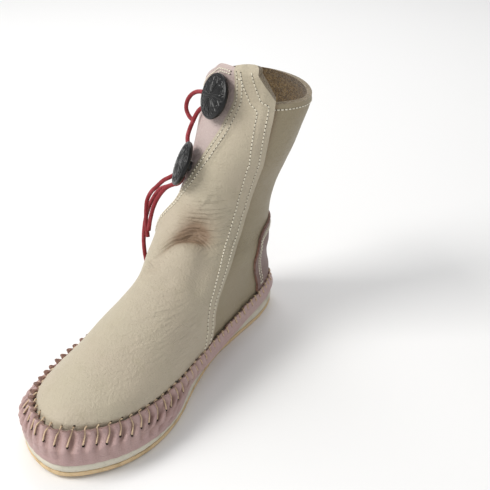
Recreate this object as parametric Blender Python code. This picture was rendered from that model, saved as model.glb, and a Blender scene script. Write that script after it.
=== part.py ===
"""Right moccasin ankle boot: soft leather upper with a button flap, laced moccasin wall, foam sole.

Metres, +Z up. The origin is on the floor under the centre of the heel, the toe points to -Y and +X is the
inner side of the foot.
"""
import math

import bmesh
import bpy
import numpy as np
from mathutils import Vector

# Driving sizes of the foot and the sole, in metres
SOLE_LENGTH = 0.2555
BALL_WIDTH = 0.089
HEEL_WIDTH = 0.062
HEEL_CENTRE = 0.031
OUTSOLE = 0.0030
MIDSOLE = 0.0055
SOLE_EDGE = 0.0008
FOAM_BULGE = 0.0003
TOE_SPRING = 0.0020
SPRING_START = 0.135
LEDGE_TOE = 0.0028
LEDGE_SIDE = 0.0012
INSOLE = 0.0020
INSOLE_CLEARANCE = 0.0006

# Driving sizes of the leather
LEATHER = 0.0020
LAP = 0.0013
LAP_RISE = 0.35
WALL_LEATHER = 0.0018
WALL_BULGE = 0.0065
WALL_WIDEST = 0.52
WALL_LOW = 0.17
WALL_LOW_BULGE = 0.55
WALL_LOW_LEDGE = 0.30
SEAM_TOE_HEIGHT = 0.0250
SEAM_HEEL_HEIGHT = 0.0205
MARGIN_OUT = 0.0017
MARGIN_DOWN = 0.0042
COUNTER_LEATHER = 0.0016
FLAP_LEATHER = 0.0016

# Driving sizes of the shaft
SHAFT_HEIGHT = 0.187
INSTEP_WIDTH = 0.064
COLLAR_WIDTH = 0.076
FRONT_RIM = 0.1925
REAR_RIM = 0.1665

# Driving sizes of the buttons and thongs
BUTTON_DIAMETER = 0.031
BUTTON_DOME = 0.0050
BUTTON_RIM = 0.0022
BUTTON_CHAMFER = 0.0010
BUTTON_STEP = 0.0003
SHANK_DIAMETER = 0.0070
SHANK_LENGTH = 0.0042
THONG_DIAMETER = 0.0030

# Clearances: between pieces that touch, under a sheet that lies on the upper, and under the wall's edge
GAP = 0.0004
LAY_GAP = 0.0008
WALL_GAP = 0.0010

# Fineness of the meshes
FRONT_COLUMNS = 25
REAR_COLUMNS = 26
OUTLINE_SAMPLES = 24
RING_SAMPLES = 240
ROWS_PER_SECTION = 8
TUBE_POINTS_PER_METRE = 150
ROUTE_SAMPLES = 12
WALL_COLUMNS = 64
COUNTER_COLUMNS = 17
COUNTER_ROW = 0.65
FLAP_COLUMNS = 12
FLAP_ROWS = 20
BUTTON_SIDES = 28
DOME_STEPS = 5
TINY = 1e-6

# The upper's rows, in sections: those of the foot, then even ones up the shaft, bent to the rim at the top
LOW_ROWS = (-1.0, -0.5, 0.0, LAP_RISE, 1.0, 2.0, 3.0, 4.0, 5.0, 5.5)
SHAFT_START = 6.0
SHAFT_ROW = 0.5
RIM_START = 12.0

# Share of the ring between a panel's edge and the next column, which makes the step of the lap
STEP_SHARE = 0.0016

# Share of the sole's length over which the outline's width turns from the heel's into the ball's
BLEND_START = 0.30
BLEND_END = 0.60

# Outline of the sole from the heel over the inner side to the toe and back.
# across: share of the width there, inner side positive. along: share of the length from the heel.
SOLE_OUTLINE = (
    (0.000, 0.000),
    (0.347, 0.033),
    (0.477, 0.141),
    (0.450, 0.294),
    (0.385, 0.411),
    (0.374, 0.553),
    (0.464, 0.705),
    (0.458, 0.830),
    (0.340, 0.930),
    (0.103, 0.998),
    (-0.185, 0.971),
    (-0.438, 0.878),
    (-0.524, 0.705),
    (-0.517, 0.549),
    (-0.558, 0.392),
    (-0.516, 0.157),
    (-0.358, 0.034),
)

# Outline of the laced seam in the same columns
SEAM_OUTLINE = (
    (0.000, 0.014),
    (0.306, 0.037),
    (0.460, 0.141),
    (0.500, 0.294),
    (0.463, 0.411),
    (0.396, 0.553),
    (0.410, 0.697),
    (0.376, 0.815),
    (0.270, 0.905),
    (0.056, 0.960),
    (-0.157, 0.940),
    (-0.348, 0.862),
    (-0.433, 0.713),
    (-0.448, 0.549),
    (-0.514, 0.392),
    (-0.476, 0.157),
    (-0.323, 0.043),
)

# How far the wall stands out over the sole's outline.
# along: share of the length from the heel. inner, outer: shares of WALL_BULGE on the two sides.
WALL_BELLY = (
    (0.00, 0.30, 0.30),
    (0.15, 0.35, 0.30),
    (0.30, 0.75, 0.35),
    (0.42, 1.00, 0.40),
    (0.55, 0.70, 0.40),
    (0.70, 0.30, 0.25),
    (0.85, 0.15, 0.30),
    (1.00, 0.15, 0.15),
)

# Sections of the upper above the seam, from the toe to the collar, a row for each.
# front_x, back_x: middle of the section at its front and back, shares of INSTEP_WIDTH, inner side positive.
# front_y, back_y: shares of SOLE_LENGTH from the back of the heel towards the toe.
# front_z, back_z: shares of SHAFT_HEIGHT.
# inner, outer: half widths, shares of INSTEP_WIDTH below the ankle and of COLLAR_WIDTH at the collar.
# round: 0 follows the seam's outline, 1 is an oval.
# lap, flap, free: places round the section, as shares of it from the front, of the lap on the inner side,
# of the flap's sewn edge and of its free edge on the outer side.
SECTIONS = (
    # front_x, back_x, front_y, back_y, front_z, back_z, inner, outer, round, lap, flap, free
    (0.015, 0.000, 0.925, 0.010, 0.177, 0.134, 0.550, 0.535, 0.08, 0.250, -0.262, -0.345),
    (0.000, 0.000, 0.855, 0.004, 0.217, 0.155, 0.540, 0.460, 0.25, 0.236, -0.258, -0.345),
    (0.000, 0.000, 0.765, 0.002, 0.260, 0.179, 0.515, 0.415, 0.45, 0.213, -0.252, -0.345),
    (0.000, 0.000, 0.663, 0.002, 0.302, 0.206, 0.500, 0.365, 0.65, 0.190, -0.243, -0.345),
    (0.000, 0.000, 0.561, 0.002, 0.345, 0.235, 0.490, 0.365, 0.85, 0.178, -0.228, -0.345),
    (-0.015, 0.015, 0.467, 0.002, 0.385, 0.267, 0.480, 0.480, 1.00, 0.170, -0.205, -0.342),
    (-0.030, 0.030, 0.388, 0.003, 0.422, 0.305, 0.445, 0.545, 1.00, 0.168, -0.175, -0.335),
    (-0.030, 0.045, 0.345, 0.002, 0.465, 0.358, 0.435, 0.515, 1.00, 0.172, -0.135, -0.325),
    (0.000, 0.060, 0.318, 0.000, 0.529, 0.428, 0.425, 0.395, 1.00, 0.179, -0.095, -0.315),
    (0.060, 0.075, 0.294, -0.008, 0.604, 0.503, 0.435, 0.380, 1.00, 0.170, -0.062, -0.305),
    (0.155, 0.075, 0.267, -0.024, 0.690, 0.588, 0.480, 0.405, 1.00, 0.150, -0.042, -0.290),
    (0.280, 0.060, 0.235, -0.046, 0.786, 0.684, 0.510, 0.460, 1.00, 0.113, -0.034, -0.270),
    (0.420, 0.015, 0.208, -0.073, 0.888, 0.820, 0.545, 0.495, 1.00, 0.077, -0.042, -0.250),
    (0.565, -0.045, 0.225, -0.100, 1.000, 0.935, 0.500, 0.485, 1.00, 0.050, -0.066, -0.232),
)
SQUARENESS = 2.0
BACK_SQUARENESS = 2.2
WIDEST = 0.48

# Height of the front panel's top edge across the panel.
# across: share of the panel from the flap seam to the lap. rise: share of the way from REAR_RIM to FRONT_RIM.
FRONT_EDGE = (
    (0.00, 0.87),
    (0.12, 0.93),
    (0.25, 0.98),
    (0.37, 1.00),
    (0.46, 0.98),
    (0.53, 0.89),
    (0.60, 0.71),
    (0.75, 0.47),
    (0.88, 0.27),
    (1.00, 0.10),
)

# Heel counter over the centre back. section: height, in sections. reach: half width, share of the ring.
COUNTER = (
    (0.55, 0.108),
    (1.50, 0.112),
    (3.00, 0.133),
    (4.00, 0.158),
    (5.00, 0.188),
    (6.00, 0.210),
    (6.70, 0.210),
    (7.30, 0.190),
    (7.70, 0.155),
    (8.00, 0.095),
    (8.12, 0.045),
)

# Button flap: the sections where its foot starts at the sewn edge and ends at the free edge, the share of
# its width that the foot takes to climb, and the share of its width and the drop, in metres, of its corners
FLAP_FOOT_SEWN = 5.8
FLAP_FOOT_FREE = 8.7
FLAP_FOOT_CLIMB = 0.5
FLAP_CORNER = 0.30
FLAP_CORNER_DROP = 0.008
FLAP_CORNER_ROUND = 0.98
FLAP_CLEARANCE = 0.0030

# Height of the flap's top edge. across: share of its width from the sewn edge. height: share of SHAFT_HEIGHT.
FLAP_TOP = (
    (0.00, 1.006),
    (0.10, 1.006),
    (0.22, 1.004),
    (0.36, 0.999),
    (0.48, 0.975),
    (0.62, 0.952),
    (0.75, 0.925),
    (1.00, 0.885),
)

# Button places. around: share of the ring from the front. section: height, in sections. turn and tilt: degrees
# that the button's axis leans away from the flap's normal, to the outer side and up, as it hangs on its thong.
BUTTONS = (
    # name, around, section, turn, tilt
    ("button_upper", -0.078, 13.0, 11.0, 8.0),
    ("button_lower", -0.067, 10.5, 14.0, -2.0),
)

# Routes of the red thongs in metres, chosen by hand: from under a button, out over the flap's free side
THONGS = {
    "thong_upper_loop": (
        (-0.0021, -0.0178, 0.1657),
        (-0.0069, -0.0145, 0.1652),
        (-0.0119, -0.0110, 0.1646),
        (-0.0186, -0.0096, 0.1635),
        (-0.0239, -0.0086, 0.1604),
        (-0.0280, -0.0076, 0.1549),
        (-0.0289, -0.0076, 0.1491),
        (-0.0262, -0.0082, 0.1441),
        (-0.0219, -0.0092, 0.1419),
    ),
    "thong_between_buttons": (
        (-0.0043, -0.0184, 0.1605),
        (-0.0097, -0.0165, 0.1566),
        (-0.0156, -0.0147, 0.1515),
        (-0.0196, -0.0159, 0.1433),
        (-0.0217, -0.0189, 0.1346),
        (-0.0196, -0.0226, 0.1286),
        (-0.0172, -0.0274, 0.1247),
        (-0.0156, -0.0306, 0.1241),
    ),
    "thong_end_front": (
        (-0.0148, -0.0344, 0.1187),
        (-0.0177, -0.0311, 0.1166),
        (-0.0214, -0.0280, 0.1133),
        (-0.0256, -0.0286, 0.1095),
        (-0.0309, -0.0294, 0.1059),
        (-0.0359, -0.0298, 0.1027),
        (-0.0408, -0.0304, 0.0977),
        (-0.0454, -0.0314, 0.0927),
        (-0.0484, -0.0324, 0.0863),
        (-0.0490, -0.0334, 0.0789),
        (-0.0488, -0.0344, 0.0699),
        (-0.0474, -0.0354, 0.0591),
    ),
    "thong_end_long": (
        (-0.0160, -0.0358, 0.1144),
        (-0.0188, -0.0326, 0.1119),
        (-0.0226, -0.0288, 0.1067),
        (-0.0272, -0.0256, 0.1016),
        (-0.0339, -0.0246, 0.0973),
        (-0.0419, -0.0249, 0.0931),
        (-0.0484, -0.0254, 0.0843),
        (-0.0527, -0.0264, 0.0737),
        (-0.0550, -0.0274, 0.0625),
        (-0.0556, -0.0284, 0.0514),
        (-0.0546, -0.0294, 0.0423),
        (-0.0529, -0.0304, 0.0356),
    ),
    "thong_end_short": (
        (-0.0144, -0.0392, 0.1133),
        (-0.0169, -0.0388, 0.1089),
        (-0.0208, -0.0366, 0.1056),
        (-0.0258, -0.0344, 0.1031),
        (-0.0319, -0.0342, 0.0991),
        (-0.0372, -0.0356, 0.0919),
        (-0.0405, -0.0374, 0.0838),
        (-0.0428, -0.0384, 0.0744),
        (-0.0444, -0.0384, 0.0662),
    ),
}


def smooth_step(value):
    """Ease from 0 to 1."""
    share = np.clip(value, 0.0, 1.0)
    return share * share * (3.0 - 2.0 * share)


def width_at(along):
    """Width that the outline's shares refer to: the heel's, turning into the ball's."""
    share = smooth_step((along - BLEND_START) / (BLEND_END - BLEND_START))
    return HEEL_WIDTH + (BALL_WIDTH - HEEL_WIDTH) * share


def spline(before, start, end, after, share):
    """Catmull-Rom point between start and end."""
    return 0.5 * (
        2.0 * start
        + (end - before) * share
        + (2.0 * before - 5.0 * start + 4.0 * end - after) * share**2
        + (3.0 * start - before - 3.0 * end + after) * share**3
    )


def closed_spline(points):
    """Smooth closed curve through points."""
    count = len(points)
    curve = []
    for index in range(count):
        near = [points[(index + step) % count] for step in (-1, 0, 1, 2)]
        for sample in range(OUTLINE_SAMPLES):
            curve.append(spline(*near, sample / OUTLINE_SAMPLES))
    return np.array(curve)


def resample(points, shares):
    """Points at shares of the length of a line."""
    steps = np.linalg.norm(np.diff(points, axis=0), axis=1)
    length = np.concatenate([[0.0], np.cumsum(steps)])
    length = length / length[-1]
    return np.stack([np.interp(shares, length, points[:, axis]) for axis in range(points.shape[1])], axis=1)


def outline(table):
    """Ring of an outline, sampled by arc length from the toe round the inner side to the heel and back."""
    points = np.array([(across * width_at(along), along * SOLE_LENGTH) for across, along in table])
    curve = closed_spline(points)
    toe = int(np.argmax(curve[:, 1]))
    heel = int(np.argmin(curve[:, 1]))
    count = len(curve)
    inner = np.array([curve[(toe - step) % count] for step in range((toe - heel) % count + 1)])
    outer = np.array([curve[(toe + step) % count] for step in range((heel - toe) % count + 1)])
    shares = np.linspace(0.0, 1.0, RING_SAMPLES // 2 + 1)
    ring = np.concatenate([resample(inner, shares), resample(outer, shares)[-2:0:-1]])
    return np.stack([ring[:, 0], HEEL_CENTRE - ring[:, 1]], axis=1)


def outward(ring):
    """Unit normals of a closed flat ring, pointing out."""
    along = np.roll(ring, -1, axis=0) - np.roll(ring, 1, axis=0)
    normal = np.stack([along[:, 1], -along[:, 0]], axis=1)
    return normal / np.linalg.norm(normal, axis=1)[:, None]


def grown(ring, distance):
    """Ring moved out by a distance, one for all or one for each point."""
    return ring + outward(ring) * np.reshape(distance, (-1, 1))


def spring(y):
    """Lift of the toe."""
    forward = np.clip(-y - SPRING_START, 0.0, None)
    span = SOLE_LENGTH - HEEL_CENTRE - SPRING_START
    return TOE_SPRING * (forward / span) ** 2


def with_height(ring, height):
    """Flat ring as points in space."""
    return np.concatenate([ring, np.broadcast_to(np.reshape(height, (-1, 1)), (len(ring), 1))], axis=1)


SOLE_RING = outline(SOLE_OUTLINE)
SEAM_RING = outline(SEAM_OUTLINE)
WALL_PLACES = np.arange(WALL_COLUMNS) / WALL_COLUMNS
SHARE_BACK = (SEAM_RING[:, 1] - SEAM_RING[:, 1].min()) / np.ptp(SEAM_RING[:, 1])
SEAM_HEIGHT = SEAM_TOE_HEIGHT + (SEAM_HEEL_HEIGHT - SEAM_TOE_HEIGHT) * SHARE_BACK
SOLE_TOP = OUTSOLE + GAP + MIDSOLE


def oval():
    """Rounded unit section sampled as the rings are: share of the way back, and share of the half width."""
    angle = np.linspace(0.0, math.pi, 4 * RING_SAMPLES)
    power = np.where(angle <= math.pi / 2.0, SQUARENESS, BACK_SQUARENESS)
    swing = np.abs(np.cos(angle)) ** (2.0 / power)
    back = np.where(angle <= math.pi / 2.0, WIDEST * (1.0 - swing), WIDEST + (1.0 - WIDEST) * swing)
    side = np.abs(np.sin(angle)) ** (2.0 / power)
    return back, side


def section_ring(row):
    """One section of the upper as a ring of points."""
    front_x, back_x, front_y, back_y, front_z, back_z, inner, outer, roundness = row[:9]
    back, side = oval()
    collar = smooth_step((front_z - 0.45) / 0.55)
    width = INSTEP_WIDTH + (COLLAR_WIDTH - INSTEP_WIDTH) * collar
    front = np.array([front_x * INSTEP_WIDTH, HEEL_CENTRE - front_y * SOLE_LENGTH, front_z * SHAFT_HEIGHT])
    rear = np.array([back_x * INSTEP_WIDTH, HEEL_CENTRE - back_y * SOLE_LENGTH, back_z * SHAFT_HEIGHT])
    half = RING_SAMPLES // 2
    shares = np.linspace(0.0, 1.0, half + 1)
    sides = []
    for sign, reach in ((1.0, inner * width), (-1.0, outer * width)):
        line = np.stack([back * (rear[1] - front[1]), side * reach], axis=1)
        even = resample(line, shares)
        round_back = even[:, 0] / (rear[1] - front[1])
        round_side = even[:, 1] / reach
        if sign > 0:
            seam = np.arange(half + 1)
        else:
            seam = (RING_SAMPLES - np.arange(half + 1)) % RING_SAMPLES
        seam_side = SEAM_RING[seam, 0] / np.abs(SEAM_RING[seam, 0]).max()
        along = (1.0 - roundness) * SHARE_BACK[seam] + roundness * round_back
        across = ((1.0 - roundness) * seam_side + roundness * sign * round_side) * reach
        line = front + (rear - front) * along[:, None]
        line[:, 0] += across
        sides.append(line)
    return np.concatenate([sides[0], sides[1][-2:0:-1]])


def form_rings():
    """Key rings of the upper's outside: its margin under the wall, the seam, then the sections."""
    seam = with_height(SEAM_RING, SEAM_HEIGHT)
    margin = with_height(grown(SEAM_RING, MARGIN_OUT), SEAM_HEIGHT - MARGIN_DOWN)
    return np.array([margin, seam] + [section_ring(row) for row in SECTIONS])


FORM = form_rings()
MARGIN_SECTION = -1.0
TOP_SECTION = float(len(SECTIONS))
OVER_TOP = 0.5


def form(around, section):
    """Points of the upper's outside. around: share of the ring from the front, section: -1 to the top.

    Above the top the form goes straight on, for the front panel and the flap, which stand a little higher.
    """
    place = np.clip(section + 1.0, 0.0, len(FORM) - 1.0)
    low = np.minimum(np.floor(place).astype(int), len(FORM) - 2)
    share = (place - low)[..., None]
    column = np.mod(around, 1.0) * RING_SAMPLES
    left = np.floor(column).astype(int) % RING_SAMPLES
    right = (left + 1) % RING_SAMPLES
    part = (column - np.floor(column))[..., None]
    near = []
    for step in (-1, 0, 1, 2):
        ring = np.clip(low + step, 0, len(FORM) - 1)
        near.append(FORM[ring, left] * (1.0 - part) + FORM[ring, right] * part)
    beyond = np.clip(section - TOP_SECTION, 0.0, None)[..., None]
    return spline(*near, share) + beyond * (near[1] - near[0])


def form_normal(around, section):
    """Unit normals of the upper's outside, pointing out."""
    step = 1.0 / RING_SAMPLES
    across = form(around + step, section) - form(around - step, section)
    rise = form(around, section + 0.05) - form(around, section - 0.05)
    normal = np.cross(across, rise)
    return normal / np.linalg.norm(normal, axis=-1)[..., None]


def section_at(around, height):
    """Section at which a column of the upper reaches a height."""
    steps = np.linspace(0.0, TOP_SECTION + OVER_TOP, int(TOP_SECTION) * ROWS_PER_SECTION + 1)
    result = []
    for place, level in zip(np.ravel(around), np.ravel(height)):
        rise = form(np.full_like(steps, place), steps)[:, 2]
        result.append(np.interp(level, np.maximum.accumulate(rise), steps))
    return np.reshape(result, np.shape(around))


def place_of(column, section):
    """Place round the ring of the lap, flap or free edge at a section."""
    values = [row[column] for row in SECTIONS]
    return np.interp(section, np.arange(1, len(SECTIONS) + 1), values)


LAP_COLUMN, FLAP_COLUMN, FREE_COLUMN = 9, 10, 11


def new_object(name, points, faces, material, sharp=math.radians(40.0)):
    """Object from points and faces, raised by the toe spring, with smooth shading."""
    points = np.array(points, dtype=float)
    points[:, 2] += spring(points[:, 1])
    mesh = bpy.data.meshes.new(name)
    mesh.from_pydata([tuple(point) for point in points], [], faces)
    work = bmesh.new()
    work.from_mesh(mesh)
    bmesh.ops.recalc_face_normals(work, faces=work.faces)
    bmesh.ops.triangulate(work, faces=work.faces)
    work.to_mesh(mesh)
    work.free()
    mesh.shade_smooth()
    mesh.set_sharp_from_angle(angle=sharp)
    piece = bpy.data.objects.new(name, mesh)
    bpy.context.scene.collection.objects.link(piece)
    mesh.materials.append(material)
    return piece


def band(rings, size, closed=True):
    """Quads between neighbouring rings, numbered ring after ring."""
    faces = []
    for ring in range(len(rings) - 1):
        for index in range(size if closed else size - 1):
            after = (index + 1) % size
            low, high = rings[ring] * size, rings[ring + 1] * size
            faces.append((low + index, low + after, high + after, high + index))
    return faces


def material(name, colour, roughness):
    """Plain material of one piece."""
    made = bpy.data.materials.new(name)
    made.use_nodes = True
    shader = made.node_tree.nodes["Principled BSDF"]
    shader.inputs["Base Color"].default_value = (*colour, 1.0)
    shader.inputs["Roughness"].default_value = roughness
    shader.inputs["Metallic"].default_value = 0.0
    return made


def columns(section):
    """Places round the ring at a section: the front panel from the flap to the lap, then the rear quarter."""
    flap = place_of(FLAP_COLUMN, section)
    lap = place_of(LAP_COLUMN, section)
    front = np.linspace(flap, lap, FRONT_COLUMNS)
    rear = np.linspace(lap + STEP_SHARE, 1.0 + flap - STEP_SHARE, REAR_COLUMNS)
    return np.concatenate([front, rear])


def rim_height(index):
    """Height of the rim at a column."""
    if index >= FRONT_COLUMNS:
        return REAR_RIM
    across = [row[0] for row in FRONT_EDGE]
    rise = [row[1] for row in FRONT_EDGE]
    share = np.interp(index / (FRONT_COLUMNS - 1), across, rise)
    return REAR_RIM + (FRONT_RIM - REAR_RIM) * share


def slab(name, levels, material):
    """Layer with the outline's ring grown by a distance at each level. levels: (growth, height) pairs."""
    size = len(WALL_PLACES)
    rings = [with_height(at_places(grown(SOLE_RING, growth)), height) for growth, height in levels]
    points = np.concatenate(rings)
    faces = band(range(len(rings)), size)
    faces += caps(size, 0, (len(rings) - 1) * size)
    return new_object(name, points, faces, material)


def caps(size, bottom, top):
    """Strips across two rings, from toe to heel, that close a body below and above."""
    faces = []
    half = size // 2
    for start, flip in ((bottom, True), (top, False)):
        for index in range(half):
            quad = [
                start + index,
                start + index + 1,
                start + (size - index - 1) % size,
                start + (size - index) % size,
            ]
            quad = list(dict.fromkeys(quad))
            if len(quad) > 2:
                faces.append(tuple(reversed(quad)) if flip else tuple(quad))
    return faces


def at_places(ring, places=None):
    """Points of a ring at shares of it."""
    places = WALL_PLACES if places is None else places
    column = np.mod(places, 1.0) * RING_SAMPLES
    left = np.floor(column).astype(int) % RING_SAMPLES
    part = (column - np.floor(column))[:, None]
    return ring[left] * (1.0 - part) + ring[(left + 1) % RING_SAMPLES] * part


def ledge():
    """Distance from the sole's edge in to the foot of the wall."""
    forward = (HEEL_CENTRE - SOLE_RING[:, 1]) / SOLE_LENGTH
    return LEDGE_SIDE + (LEDGE_TOE - LEDGE_SIDE) * smooth_step((forward - 0.70) / 0.25)


def belly():
    """Distance that the wall stands out beyond the sole's edge."""
    forward = (HEEL_CENTRE - SOLE_RING[:, 1]) / SOLE_LENGTH
    along = [row[0] for row in WALL_BELLY]
    inner = np.interp(forward, along, [row[1] for row in WALL_BELLY])
    outer = np.interp(forward, along, [row[2] for row in WALL_BELLY])
    side = smooth_step(0.5 + SOLE_RING[:, 0] / HEEL_WIDTH)
    return WALL_BULGE * (outer + (inner - outer) * side)


def outside_seam(ring, distance):
    """Ring moved out where it lies less than a distance outside the seam."""
    normal = outward(SEAM_RING)
    reach = np.sum((ring - SEAM_RING) * normal, axis=1)
    return ring + normal * np.clip(distance - reach, 0.0, None)[:, None]


def wall_rings():
    """Key rings of the wall's outside, from its foot to its laced edge."""
    foot = SOLE_TOP + GAP
    slope = math.atan2(MARGIN_DOWN, MARGIN_OUT)
    out = (WALL_GAP + WALL_LEATHER) * math.sin(slope)
    up = (WALL_GAP + WALL_LEATHER) * math.cos(slope)
    edge = with_height(grown(SEAM_RING, out), SEAM_HEIGHT + up)
    shoulder = with_height(grown(SEAM_RING, out + MARGIN_OUT), SEAM_HEIGHT + up - MARGIN_DOWN)
    high = foot + (SEAM_HEIGHT - foot) * WALL_WIDEST
    low = foot + (SEAM_HEIGHT - foot) * WALL_LOW
    widest = with_height(outside_seam(grown(SOLE_RING, belly()), MARGIN_OUT + WALL_GAP + WALL_LEATHER), high)
    lower = with_height(grown(SOLE_RING, WALL_LOW_BULGE * belly() - WALL_LOW_LEDGE * ledge()), low)
    base = with_height(grown(SOLE_RING, -ledge()), foot)
    return np.array([base, lower, widest, shoulder, edge])


def moccasin_wall(leather):
    """Tray of the moccasin: a floor and a wall that bulges over the sole and closes in to the seam."""
    keys = wall_rings()
    rows = []
    for index in range(len(keys) - 1):
        near = [keys[min(max(index + step, 0), len(keys) - 1)] for step in (-1, 0, 1, 2)]
        for sample in range(2):
            rows.append(spline(*near, sample / 2.0))
    rows.append(keys[-1])
    outer = np.array([at_places(row) for row in rows])
    across = np.roll(outer, -1, axis=1) - np.roll(outer, 1, axis=1)
    normal = np.cross(across, np.gradient(outer, axis=0))
    normal /= np.linalg.norm(normal, axis=2)[..., None]
    inner = outer - WALL_LEATHER * normal
    flat = outward(outer[0, :, :2])
    inner[0, :, :2] = outer[0, :, :2] - flat * WALL_LEATHER
    inner[0, :, 2] = outer[0, :, 2] + WALL_LEATHER
    lowest = inner[0, :, 2] + GAP * np.arange(1, len(inner))[:, None]
    inner[1:, :, 2] = np.maximum(inner[1:, :, 2], lowest)
    size = WALL_COLUMNS
    count = len(outer)
    points = np.concatenate([outer.reshape(-1, 3), inner[::-1].reshape(-1, 3)])
    faces = band(range(2 * count), size)
    faces += caps(size, 0, (2 * count - 1) * size)
    return new_object("moccasin_wall", points, faces, leather)


def insole(leather):
    """Sock inside the tray."""
    inset = ledge() + WALL_LEATHER + 2.0 * GAP + INSOLE_CLEARANCE
    foot = SOLE_TOP + 2.0 * GAP + WALL_LEATHER
    size = WALL_COLUMNS
    ring = at_places(grown(SOLE_RING, -inset))
    points = np.concatenate([with_height(ring, foot), with_height(ring, foot + INSOLE)])
    faces = band(range(2), size) + caps(size, 0, size)
    return new_object("insole", points, faces, leather)


def upper(leather):
    """Hollow upper in one piece, open at the collar and underneath, its front panel raised by the lap."""
    size = FRONT_COLUMNS + REAR_COLUMNS
    top_places = columns(TOP_SECTION)
    heights = np.array([rim_height(index) for index in range(size)])
    top = section_at(top_places, heights)
    for _ in range(4):
        places = np.array([columns(level)[index] for index, level in enumerate(top)])
        top = section_at(places, heights)
    rows = [np.full(size, level) for level in LOW_ROWS]
    for level in np.arange(SHAFT_START, TOP_SECTION + SHAFT_ROW / 2.0, SHAFT_ROW):
        share = max(level - RIM_START, 0.0) / (TOP_SECTION - RIM_START)
        rows.append(min(level, RIM_START) + (top - RIM_START) * share)
    sections = np.array(rows)
    places = np.array([[columns(level)[index] for index, level in enumerate(row)] for row in sections])
    base = form(places, sections)
    normal = form_normal(places, sections)
    raised = np.zeros(size)
    raised[:FRONT_COLUMNS] = LAP
    lift = raised[None, :] * np.clip(sections / LAP_RISE, 0.0, 1.0)
    outer = base + normal * lift[..., None]
    inner = base - normal * LEATHER
    count = len(rows)
    points = np.concatenate([outer.reshape(-1, 3), inner[::-1].reshape(-1, 3)])
    faces = band(range(2 * count), size)
    low = (2 * count - 1) * size
    for index in range(size):
        after = (index + 1) % size
        faces.append((low + index, low + after, after, index))
    return new_object("upper", points, faces, leather)


def patch(name, places, sections, thickness, leather):
    """Sheet of leather that lies on the upper. places and sections: grids of the same shape."""
    base = form(places, sections)
    normal = form_normal(places, sections)
    low = base + normal * LAY_GAP
    high = low + normal * thickness
    count, size = places.shape
    total = count * size
    points = np.concatenate([high.reshape(-1, 3), low.reshape(-1, 3)])
    faces = band(range(count), size, closed=False)
    faces += [tuple(total + index for index in reversed(face)) for face in faces]
    edge = list(range(size))
    edge += [row * size + size - 1 for row in range(1, count)]
    edge += [(count - 1) * size + column for column in range(size - 2, -1, -1)]
    edge += [row * size for row in range(count - 2, 0, -1)]
    for index, start in enumerate(edge):
        end = edge[(index + 1) % len(edge)]
        faces.append((end, start, total + start, total + end))
    return new_object(name, points, faces, leather)


def heel_counter(leather):
    """Counter that stands on the laced seam over the centre back."""
    heights = [row[0] for row in COUNTER]
    levels = np.concatenate([np.arange(heights[0], heights[-3], COUNTER_ROW), heights[-3:]])
    reach = np.interp(levels, heights, [row[1] for row in COUNTER])
    across = np.linspace(-1.0, 1.0, COUNTER_COLUMNS)
    places = 0.5 + reach[:, None] * across[None, :]
    sections = np.repeat(levels[:, None], len(across), axis=1)
    return patch("heel_counter", places, sections, COUNTER_LEATHER, leather)


def button_flap(leather):
    """Flap on the outer side, from the front panel's edge to its free edge, with rounded corners."""
    shares = np.linspace(0.0, 1.0, FLAP_COLUMNS)
    corner = np.clip((shares - (1.0 - FLAP_CORNER)) / FLAP_CORNER, 0.0, 1.0)
    drop = 1.0 - np.sqrt(1.0 - FLAP_CORNER_ROUND * corner**2)
    sewn = place_of(FLAP_COLUMN, TOP_SECTION)
    free = place_of(FREE_COLUMN, TOP_SECTION)
    across = [row[0] for row in FLAP_TOP]
    rise = [row[1] for row in FLAP_TOP]
    top_height = SHAFT_HEIGHT * np.interp(shares, across, rise) - FLAP_CORNER_DROP * drop
    top = section_at(sewn + (free - sewn) * shares, top_height)
    foot = FLAP_FOOT_SEWN + (FLAP_FOOT_FREE - FLAP_FOOT_SEWN) * smooth_step(shares / FLAP_FOOT_CLIMB) + drop
    sections = []
    grid = []
    for row in np.linspace(0.0, 1.0, FLAP_ROWS):
        level = foot + (top - foot) * row
        start = place_of(FLAP_COLUMN, level) - FLAP_CLEARANCE
        end = place_of(FREE_COLUMN, level)
        sections.append(level)
        grid.append(start + (end - start) * shares)
    return patch("button_flap", np.array(grid)[:, ::-1], np.array(sections)[:, ::-1], FLAP_LEATHER, leather)


def button_axis(normal, turn, tilt):
    """Direction of a button's axis: the flap's normal turned to the outer side and tilted up, in degrees."""
    swing = math.atan2(-normal[0], -normal[1]) + math.radians(turn)
    rise = math.asin(normal[2]) + math.radians(tilt)
    return np.array([-math.sin(swing) * math.cos(rise), -math.cos(swing) * math.cos(rise), math.sin(rise)])


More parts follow.
